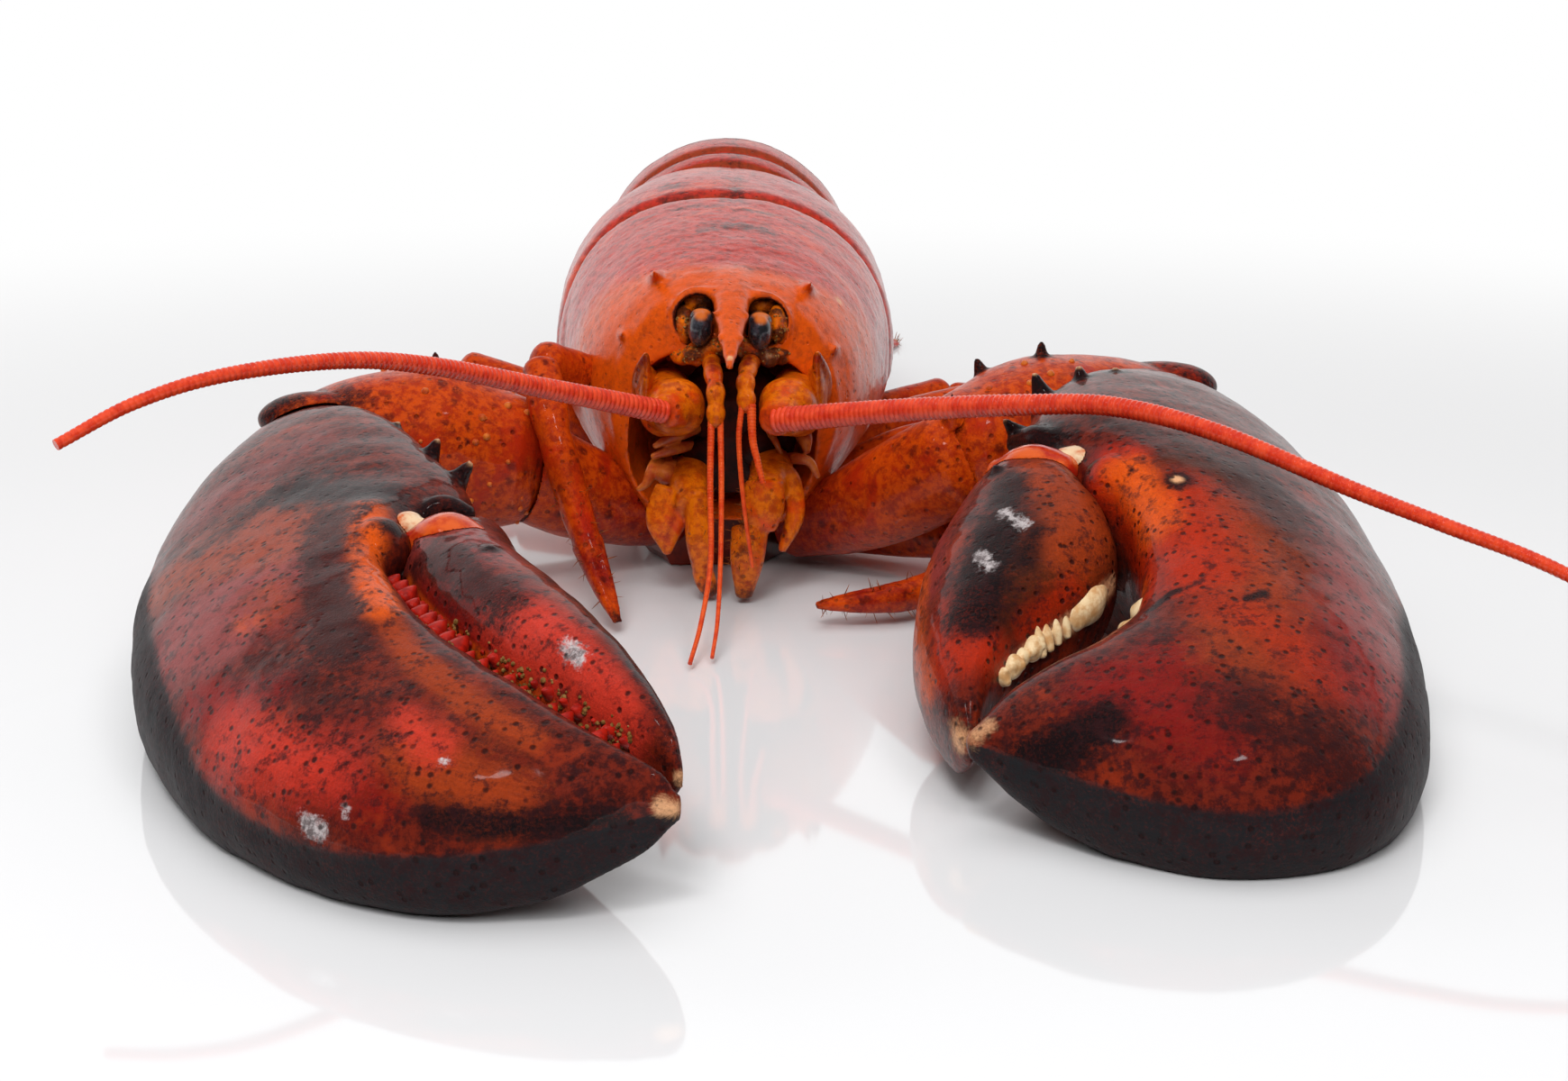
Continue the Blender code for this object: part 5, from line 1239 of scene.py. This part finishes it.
jawLooks = {  # flattened lengths of each outer jaw leg: route, sizes and the way its width lies
    "Left": (
        (((-5.5, -42, 18), (-6.8, -50, 17.8), (-6.0, -56.5, 15.4)), ((3.0, 3.0), (3.3, 3.0), (2.9, 2.6)),
         (1, 0, 0.2)),
        (((-5.4, -56.6, 16.4), (-5.2, -58, 10), (-4.7, -57.8, 5.2)), ((1.9, 1.9), (2.2, 1.9), (1.7, 1.6)),
         (1, 0.2, 0)),
        (((-4.8, -57.8, 5.0), (-4.2, -57.8, 3.0), (-3.4, -57.5, 1.2)), ((1.7, 1.5), (1.7, 1.4), (1.3, 1.0)),
         (1, 0.2, 0)),
        (((-8.6, -54.6, 16.6), (-10.4, -55.2, 12.4), (-10.4, -55.6, 7.4)),
         ((3.9, 1.1), (3.3, 1.4), (0.8, 0.7)), (1, 0.1, 0.42)),
    ),
    "Right": (
        (((5.5, -42, 18.5), (6.4, -50, 19.2), (5.4, -56.2, 17.8)), ((3.0, 3.0), (3.3, 3.1), (3.1, 2.9)),
         (1, 0, 0)),
        (((5.0, -57.0, 18.8), (4.8, -58.6, 15.5), (4.2, -58.8, 12.4)), ((3.1, 2.1), (3.3, 2.2), (2.7, 1.9)),
         (1, 0, 0)),
        (((2.7, -58.8, 11.9), (2.2, -59.3, 6.5), (1.7, -58.7, 1.2)), ((2.9, 2.2), (2.6, 1.9), (1.4, 1.1)),
         (1, 0, 0)),
        (((6.6, -52, 20.5), (9.2, -54, 18.8), (9.9, -55.4, 13.5), (7.8, -56.4, 8)),
         ((1.3, 1.7), (1.5, 1.5), (1.5, 1.2), (0.7, 0.6)), (1, 0, 0.3)),
    ),
}


def jawLeg(word, side):
    lengths = jawLooks[word]
    skins = [leafSkin(route, sizes, way) for route, sizes, way in lengths]
    crest = through(((side * 2.6, -57.5, 17.5), (side * 2.2, -59.6, 13.5), (side * 1.4, -60.2, 8.5)), 6)
    if side > 0:  # the notched biting crest shows on this side
        skins += [spike(place + (0.9, 0.4, 0.2), place + (-1.2, -0.2, 0.4), 0.75, 10) for place in crest]
    jaw = clay(f"jawLeg{word}", skins, 0.32, 1)
    places = weather(jaw, 61, 0.6)
    # thin darker lines along the lower jaw segments are painted shade in their creases
    creaseShade = [((np.add(route[0], (-side * 0.5, -1.6, 1.0)), np.add(route[-1], (side * 0.8, -1.2, 0.0))), 0.7,
              0.55)
             for route, _, _ in lengths[1:]]
    paint(jaw, {"wine": creaseShade, "umber": (((lengths[2][0][-1],), 2.4, 0.8), ((crest[2], crest[5]), 1.0, 0.8))})
    finishPiece(jaw, faceShell, ["jaw_leg_" + word.lower()])
    mask = smoothStep(distanceTo(places, crest), 3.4, 2.0)
    coatOf(f"jawBristles{word}", bristleForm, jaw, mask, "jawBristles", bristleBrown)


mouthLooks = {  # curled palps round the mouth: route and radii
    "palps": (
        (((-5.6, -46.5, 25.2), (-8.6, -50.4, 25.2), (-12.2, -51.4, 23.6)), (0.9, 1.1, 0.5)),
        (((-6.0, -47.0, 22.6), (-9.0, -50.0, 22.8), (-12.6, -51.0, 21.8)), (0.8, 1.0, 0.5)),
        (((-11.6, -46.5, 20.5), (-12.6, -50.5, 19.6), (-13.6, -51.6, 17.6), (-15.0, -51.8, 16.6)),
         (0.8, 1.0, 0.9, 0.4)),
        (((-9.0, -46.0, 18.8), (-10.4, -50.4, 18.9), (-10.6, -51.6, 18.7)), (1.2, 1.9, 1.5)),
        (((-6.2, -47.0, 20.0), (-7.6, -51.0, 19.4)), (0.9, 0.6)),
        (((8.6, -46.0, 20.0), (10.0, -50.4, 21.2), (12.2, -51.4, 20.9), (13.6, -51.4, 18.4)),
         (0.8, 0.9, 0.8, 0.45)),
        (((5.4, -46.5, 25.6), (6.6, -50.2, 24.4), (7.8, -50.8, 22.0)), (0.5, 0.55, 0.3)),
        (((10.8, -46.0, 25.0), (11.6, -49.0, 24.0), (11.8, -50.0, 22.2)), (1.2, 1.3, 0.6)),
    ),
    "jaws": (((-4.6, -47.0, 20.5), (3.4, 3.0, 3.6)), ((4.2, -47.0, 22.5), (3.2, 3.0, 3.2))),
}


def mouthParts():
    skins = []
    for route, radii in mouthLooks["palps"]:
        skins.append(tube(route, [(r, r) for r in radii], 14, 24, (0.5, 0.7)))
    palps = clay("mouthPalps", skins, 0.25, 1)
    weather(palps, 63, 0.3)
    finishPiece(palps, palpOchre)
    # the jaws take the dark mouth colour, partly painted shade
    jaws = clay("mouthJaws", [pebble(centre, radii) for centre, radii in mouthLooks["jaws"]], 0.35, 2)
    weather(jaws, 64)
    finishPiece(jaws, mouthDark)
    # soft tissue and brown crumbs packed between the eyes and the roots of the feelers
    packing = clay("faceTissue", [
        tube(((-9.6, -46.0, 37.4), (-6.0, -49.6, 37.6), (-3.2, -50.6, 39.0), (0.0, -50.2, 39.4),
              (3.2, -50.6, 39.0),
              (6.0, -49.6, 37.4), (9.2, -46.0, 37.0)), ((1.3, 1.2), (1.5, 1.4), (1.6, 1.5), (1.5, 1.4),
                                                        (1.3, 1.2)), 16, 40),
        pebble((-6.4, -50.6, 37.9), (1.5, 1.4, 1.3)), pebble((5.9, -50.6, 37.4), (1.5, 1.4, 1.3)),
        pebble((-7.3, -46.4, 41.8), (1.7, 3.0, 3.4)), pebble((7.3, -46.4, 41.8), (1.7, 3.0, 3.4)),
        pebble((-5.0, -43.6, 45.4), (2.8, 1.8, 1.8)), pebble((5.0, -43.4, 44.4), (2.6, 1.7, 1.7)),
    ], 0.3, 1)
    places = placesOf(packing)
    relief(packing, 0.35 * swell(places, 1.5, 66) + 0.2 * swell(places, 0.7, 67))
    paint(packing, {"umber": np.clip(0.55 + 0.9 * swell(places, 1.6, 68), 0, 1),
                    "horn": np.clip(swell(places, 2.2, 69) - 0.35, 0, 1)})
    finishPiece(packing, faceShell)
    mask = smoothStep(places[:, 1], -47.0, -48.5) * smoothStep(places[:, 2], 36.5, 38.0)
    coatOf("faceCrumbs", crumbForm, packing, mask, "faceCrumbs", crumbOlive)


for word, side, route in (("Left", -1, leftWhip), ("Right", 1, rightWhip)):
    eyePiece(word, side)
    antennaRoot(word, side, route[0])
    antennaScale(word, side)
    smallFeelers(word)
    jawLeg(word, side)
mouthParts()
antennaRings = 0.85  # from one ring to the next
whipPiece("antennaLeft", leftWhip, 1.9, 0.8, antennaRings, whipRed, ["antenna_left"])
whipPiece("antennaRight", rightWhip, 2.05, 0.42, antennaRings, whipRed, ["antenna_right"])
stage("face")


# Walking legs

legs = {
    "left_1": (((-12, -22, 12), (-22, -34, 29), (-29.5, -44, 35.5)),
               ((-30, -48, 35.2), (-27.4, -57, 26), (-22.8, -64, 12.5), (-17.5, -74, 1.6)), True),
    "left_2": (((-12, -13, 8), (-30, -12.5, 21), (-45, -12, 27)),
               ((-49, -12.5, 27), (-58, -15, 19), (-65, -20, 9), (-70, -25, 1.3)), True),
    "left_3": (((-12, 1, 8), (-28, 4, 15), (-43, 8, 18)),
               ((-47, 9, 17.5), (-57, 11, 13), (-66, 13.5, 6), (-73, 16, 1.1)), False),
    "left_4": (((-11, 15, 8), (-25, 23, 12.5), (-39, 31, 13.5)),
               ((-42.5, 33.5, 13), (-50, 40, 9.5), (-56, 46, 5), (-62, 53, 1.1)), False),
    "right_1": (((9, -30, 4), (22, -36, 5), (35, -44.5, 6.5)),
                ((38.5, -48, 6.8), (37, -60, 5.5), (26.6, -68.5, 4), (12.8, -71.5, 3.4)), True),
    "right_2": (((12, -14, 6), (30, -16, 14), (45, -18, 17)),
                ((49, -18.5, 16.5), (59, -19, 12), (68, -19, 6), (76, -20, 1.3)), True),
    "right_3": (((12, 1, 6), (29, 5, 13), (44, 9.5, 16)),
                ((48, 10.5, 15.5), (59, 13.5, 11), (69, 16, 5), (77, 18, 1.1)), False),
    "right_4": (((11, 15, 5.5), (26, 24, 10), (40, 32.5, 12)),
                ((43.5, 35, 11.5), (51, 41.5, 8.5), (58, 48.5, 4.5), (64, 56, 1.1)), False),
}
legWidths = {
    "pincer": ((3.0, 3.0), (2.5, 2.6), (2.6, 2.7), (2.3, 2.3)),
    "plain": ((2.8, 2.8), (2.2, 2.3), (2.0, 2.1), (1.7, 1.8)),
}


def legPieces(name, upperRoute, lowerRoute, pincer):
    title = name.replace("_", " ").title().replace(" ", "")
    upper = clay(f"leg{title}Upper", [
        tube(upperRoute, ((3.0, 3.2), (2.8, 3.6), (3.0, 3.9), (3.3, 3.7)), 20, 40, (0.4, 0.7)),
    ], 0.5, 2)
    line = through(lowerRoute, 60)
    widths = legWidths["pincer" if pincer else "plain"]
    skins = [tube(line[:18], (widths[0], (3.1, 3.1), (2.4, 2.5)), 18, 20, (0.6, 0.6)),
             tube(line[17:44], (widths[1], widths[2], widths[3]), 18, 30, (0.5, 0.6))]
    if pincer:
        apart = np.cross(line[-1] - line[40], (0, 0, 1.0))
        apart = apart / np.linalg.norm(apart)
        for way in (-1, 1):
            jaw = line[40:] + apart * way * 1.15 * np.linspace(1, 0.45, 20)[:, None]
            skins.append(tube(jaw, ((1.5, 2.2), (1.1, 1.5), (0.35, 0.45)), 14, 24, (0.6, 0.5)))
    else:
        skins.append(tube(line[43:], ((1.6, 1.7), (1.1, 1.2), (0.4, 0.4)), 14, 20, (0.6, 0.5)))
    lower = clay(f"leg{title}Lower", skins, 0.4, 2)
    for leg in (upper, lower):
        weather(leg, 71, 0.6)
    # the deep red over the leg's root is painted shade where the leg meets the body
    paint(upper, {"wine": ((upperRoute[:1], 9.0, 0.8),)})
    paint(lower, {"wine": ((line[40:50], 3.0, 0.8),), "soot": ((line[-3:], 1.2, 0.6),)})
    finishPiece(upper, legShell, [f"leg_{name}_upper"])
    finishPiece(lower, legShell, [f"leg_{name}_lower"])
    mask = smoothStep(distanceTo(placesOf(lower), line[34:]), 8, 4) * 0.9
    coatOf(f"legBristles{title}", bristleForm, lower, mask, "legBristles", bristleBrown)


for name, (upperRoute, lowerRoute, pincer) in legs.items():
    legPieces(name, upperRoute, lowerRoute, pincer)
stage("legs")


# Tail

tailRings = ((9, 0, 25, 36), (15, 0, 25.6, 37), (14, 8, 25, 35.6), (14, 16, 23.4, 31.5), (13, 24, 21.2, 27),
             (15, 22, 18.4, 18.5))  # length, pitch, half width and height at the rear
tailGap = 0.36
tailStart, tailFront = (46.0, 20.0), (24.4, 34.4)  # y and z, then half width and height, at the front


def tailSection(w, h, share):
    wide = 0.3 * h
    section = []
    for k in range(41):
        angle = math.pi * k / 40
        section.append((w * math.cos(angle), wide + (h - wide) * math.sin(angle), 0.0))
    plate = 3.0 + 6.5 * math.sin(math.pi * min(1.0, max(0.0, share))) ** 0.7
    half = [(-w * 0.97, wide * 0.35, 0.0), (-w * 0.93, -plate * 0.75, 1.6), (-w * 0.83, -plate * 0.7, 1.6),
            (-w * 0.74, 0.0, 0.0), (-w * 0.4, -0.4, 0.0)]
    section += half + [(0.0, -0.6, 0.0)] + [(-x, z, shift) for x, z, shift in reversed(half)]
    return section


def tailRing(index, start, pitch, length, half, height, before, roll):
    ahead = np.array((0, math.cos(pitch), -math.sin(pitch)))
    up = np.array((0, math.sin(pitch), math.cos(pitch)))
    origin = np.array((0, *start), float)
    hoops = []
    steps = ((-0.3, 2.2), (-0.1, 1.9), (0.1, 1.65), (0.2, 1.5), (0.27, 0.8), (0.34, 0.2), (0.5, 0.0),
             (0.7, 0.0), (0.85, 0.05), (0.95, 0.15), (1.0, 0.5))
    for share, tuck in steps:
        w = before[0] + (half - before[0]) * share - tuck
        h = before[1] + (height - before[1]) * share - tuck
        hoops.append([origin + np.array((x, 0, 0)) + up * z + ahead * (length * share + shift)
                      for x, z, shift in tailSection(w, h, share)])
    ring = clay(f"tailRing{index}", [skinOver(hoops)], 0.5, 3)
    places = placesOf(ring)
    along = (places - origin) @ ahead / length
    rim = np.exp(-((along - 0.88) / 0.03) ** 2) * 0.25
    relief(ring, shellRelief(places, 80 + index) * 0.7 - rim + 0.04 * swell(places, 0.9, 90 + index))
    x, z = places[:, 0], places[:, 2]
    layers = {
        "rust": np.clip(np.exp(-((along - 0.3) / 0.1) ** 2) * 0.8 + smoothStep(z, 24, 12) * 0.5, 0, 1),
        "wine": np.exp(-((along - 0.95) / 0.08) ** 2) * 0.8,
        "soot": brushed(places, (((origin + up * height, origin + up * height + ahead * length), 3.0,
                                  0.45),)),
    }
    paint(ring, layers, np.stack([places[:, 1], x, z], axis=1))
    turn(ring, bodyLean(roll))
    finishPiece(ring, bodyShell, [f"tail_{index}"])


def makeTail():
    y, z = tailStart
    before = tailFront
    for i, (length, degrees, half, height) in enumerate(tailRings):
        pitch = math.radians(degrees)
        tailRing(i + 1, (y, z), pitch, length - tailGap, half, height, before, max(0.0, 1.0 - i / 5))
        y += length * math.cos(pitch)
        z -= length * math.sin(pitch)
        before = (half, height)
    return y


def fanPlate(name, node, root, angle, length, wide, low, thick, narrow=0.55):
    ahead = np.array((math.sin(angle), math.cos(angle), 0))
    across = np.array((math.cos(angle), -math.sin(angle), 0))
    root = np.array((*root, 0), float)
    hoops = []
    for i in range(40):
        share = i / 39
        half = wide * (narrow + (1 - narrow) * math.sin(0.5 * math.pi * min(1.0, share * 1.5)))
        if share > 0.62:
            half *= math.sqrt(max(0.0, 1 - ((share - 0.62) / 0.42) ** 2))
        crown = thick * (1.0 - 0.45 * share)
        middle = root + ahead * length * share + np.array((0, 0, low))
        section = []
        for k in range(24):
            turnBy = 2 * math.pi * k / 24
            c, s = rounded(math.cos(turnBy), 2.6), rounded(math.sin(turnBy), 2.6)
            section.append(middle + across * c * half + np.array((0, 0, crown * (0.5 + 0.5 * s))))
        hoops.append(section)
    plate = clay(name, [skinOver(hoops)], 0.35, 2)
    places = placesOf(plate)
    offset = places - root
    share, aside = offset @ ahead / length, offset @ across
    fan = aside / (3 + 0.9 * length * np.clip(share, 0.05, 1))
    top = normalsOf(plate)[:, 2] > 0.2
    lines = 0.12 * np.cos(fan * 60) * smoothStep(share, 0.3, 0.7) * top
    rib = 0.7 * np.exp(-(aside / 1.6) ** 2) * smoothStep(share, 0.95, 0.6) * top
    relief(plate, lines + rib + 0.15 * swell(places, 5, 95))
    layers = {
        "rust": smoothStep(share, 0.35, 0.05) * 0.8, "wine": np.exp(-((share - 0.78) / 0.12) ** 2) * 0.7,
        "soot": brushed(places, (((root + ahead * length * 0.3, root + ahead * length * 0.55), 4.0, 0.45),)),
        "horn": smoothStep(share, 0.93, 1.0) * 0.8,
    }
    paint(plate, layers, np.stack([share * length, aside, places[:, 2]], axis=1))
    finishPiece(plate, bodyShell, [node])
    mask = smoothStep(share, 0.86, 0.97) * 0.9
    coatOf(name + "Fringe", bristleForm, plate, mask, "fringe", bristleBrown)


fanLooks = {  # node, root beside and before the tail's end, angle, length, half width, lift and thickness
    "fanInner": ("fan_inner", 8.5, -1, 20, 33, 9.6, 2.0, 1.5),
    "fanOuter": ("fan_outer", 12, -3, 46, 34, 10.2, 0.0, 1.6),
}
tailEnd = makeTail()
fanPlate("telsonPlate", "telson", (0, tailEnd + 0.6), 0.0, 31, 12, 3.9, 3.0, 0.8)
for word, side in (("Left", -1), ("Right", 1)):
    for name, (node, aside, along, degrees, *sizes) in fanLooks.items():
        fanPlate(name + word, f"{node}_{word.lower()}", (side * aside, tailEnd + along),
                 side * math.radians(degrees), *sizes)
stage("tail")

# The CAD's own solids that stay: the breastplate and the mouth, both coloured dark red partly as painted
# shade beneath the body
for node, material in (("breastplate", breastRed), ("mouth", mouthDark)):
    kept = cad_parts[node]
    for place in kept.material_slots:
        place.material = material

for form in smallForms:
    bpy.data.objects.remove(form)


# Table, light and camera

def floorMaterial():
    made, tree, shader = blankMaterial("whiteAcrylic")
    place = add(tree, "ShaderNodeTexCoord").outputs["Object"]
    shader.inputs["Base Color"].default_value = (0.78, 0.78, 0.79, 1)
    shader.inputs["IOR"].default_value = 1.9
    tree.links.new(weighted(tree, 0.03, (noise(tree, place, 6.0, 3), 0.05)), shader.inputs["Roughness"])
    fromFront = add(tree, "ShaderNodeVectorMath", {0: place, 1: (0, 0.14, 0)}).outputs[0]
    far = add(tree, "ShaderNodeVectorMath", {0: fromFront}, operation="LENGTH").outputs["Value"]
    glow = add(tree, "ShaderNodeEmission", {"Color": (1, 1, 1, 1), "Strength": 1.0})
    faded = add(tree, "ShaderNodeMixShader", {0: softened(tree, far, 0.20, 0.48), 1: shader.outputs[0],
                                              2: glow.outputs[0]})
    tree.links.new(faded.outputs[0], tree.nodes["Material Output"].inputs["Surface"])
    return made


def softbox(name, place, aim, size, power):
    light = bpy.data.lights.new(name, "AREA")
    light.shape = "RECTANGLE"
    light.size, light.size_y = size
    light.energy = power
    obj = bpy.data.objects.new(name, light)
    obj.location = place
    obj.rotation_euler = (Vector(aim) - Vector(place)).to_track_quat("-Z", "Y").to_euler()
    scene.collection.objects.link(obj)
    return obj


def makeTable():
    skin = hoop(np.array((0.0, 0.0, 0.0)), np.array((3000.0, 0, 0)), np.array((0, 3000.0, 0)), 64)
    mesh = bpy.data.meshes.new("table")
    mesh.from_pydata([tuple(p * mm - np.array((0, 0, 0.0002))) for p in skin], [], [tuple(range(64))])
    table = bpy.data.objects.new("table", mesh)
    scene.collection.objects.link(table)
    mesh.materials.append(floorMaterial())


def makeWorld():
    world = bpy.data.worlds.new("studio")
    scene.world = world
    world.use_nodes = True
    tree = world.node_tree
    tree.nodes.clear()
    way = add(tree, "ShaderNodeTexCoord").outputs["Generated"]
    axis = add(tree, "ShaderNodeSeparateXYZ", {0: way}).outputs
    back = softened(tree, axis["Y"], -0.10, 0.70)
    below = add(tree, "ShaderNodeMapRange", {0: softened(tree, axis["Z"], 0.35, 0.75), 3: 1.0,
                                             4: 0.25}).outputs[0]
    share = product(tree, back, below)
    glow = add(tree, "ShaderNodeMapRange", {0: share, 3: 0.05, 4: 0.90}).outputs[0]
    unseen = add(tree, "ShaderNodeBackground", {"Color": (1, 1, 1, 1), "Strength": glow})
    plain = add(tree, "ShaderNodeBackground", {"Color": (1, 1, 1, 1), "Strength": 1.0})
    seen = add(tree, "ShaderNodeLightPath").outputs["Is Camera Ray"]
    chosen = add(tree, "ShaderNodeMixShader", {0: seen, 1: unseen.outputs[0], 2: plain.outputs[0]})
    add(tree, "ShaderNodeOutputWorld", {0: chosen.outputs[0]})


view = {"place": (-0.0008, -0.440, 0.121), "down": 16.22, "turned": -1.325,  # metres and degrees
        "focalPixels": 2812, "photoPixels": 1740, "sensor": 36}


def makeCamera():
    camera = bpy.data.cameras.new("camera")
    camera.sensor_width = view["sensor"]
    camera.lens = view["focalPixels"] / view["photoPixels"] * view["sensor"]
    camera.clip_start = 0.01
    obj = bpy.data.objects.new("camera", camera)
    obj.location = view["place"]
    obj.rotation_euler = (math.radians(90 - view["down"]), 0, math.radians(view["turned"]))
    scene.collection.objects.link(obj)
    scene.camera = obj


makeTable()
makeWorld()
makeCamera()
lights = {  # place, aim, size and watts; only the small bright glints show in the gloss
    "overhead": ((0.0, -0.02, 0.80), (0, -0.06, 0), (0.8, 0.6), 3.0),
    "fill": ((0.0, -0.70, 0.55), (0.0, -0.07, 0.02), (0.8, 0.4), 3.4),
    "front": ((-0.12, -0.55, 0.70), (0.0, -0.07, 0.02), (0.26, 0.22), 2.6),
    "glintLeft": ((-0.24, -0.34, 0.60), (0, -0.10, 0.02), (0.07, 0.04), 0.12),
    "glintRight": ((0.20, -0.34, 0.60), (0, -0.10, 0.02), (0.07, 0.04), 0.12),
    "backLeft": ((-0.60, 0.42, 0.36), (-0.02, -0.05, 0.02), (0.5, 0.4), 1.0),
}
for name, look in lights.items():
    softbox(name, *look).visible_glossy = name.startswith("glint")
scene.view_settings.view_transform = "Standard"
stage("table, lights and camera")
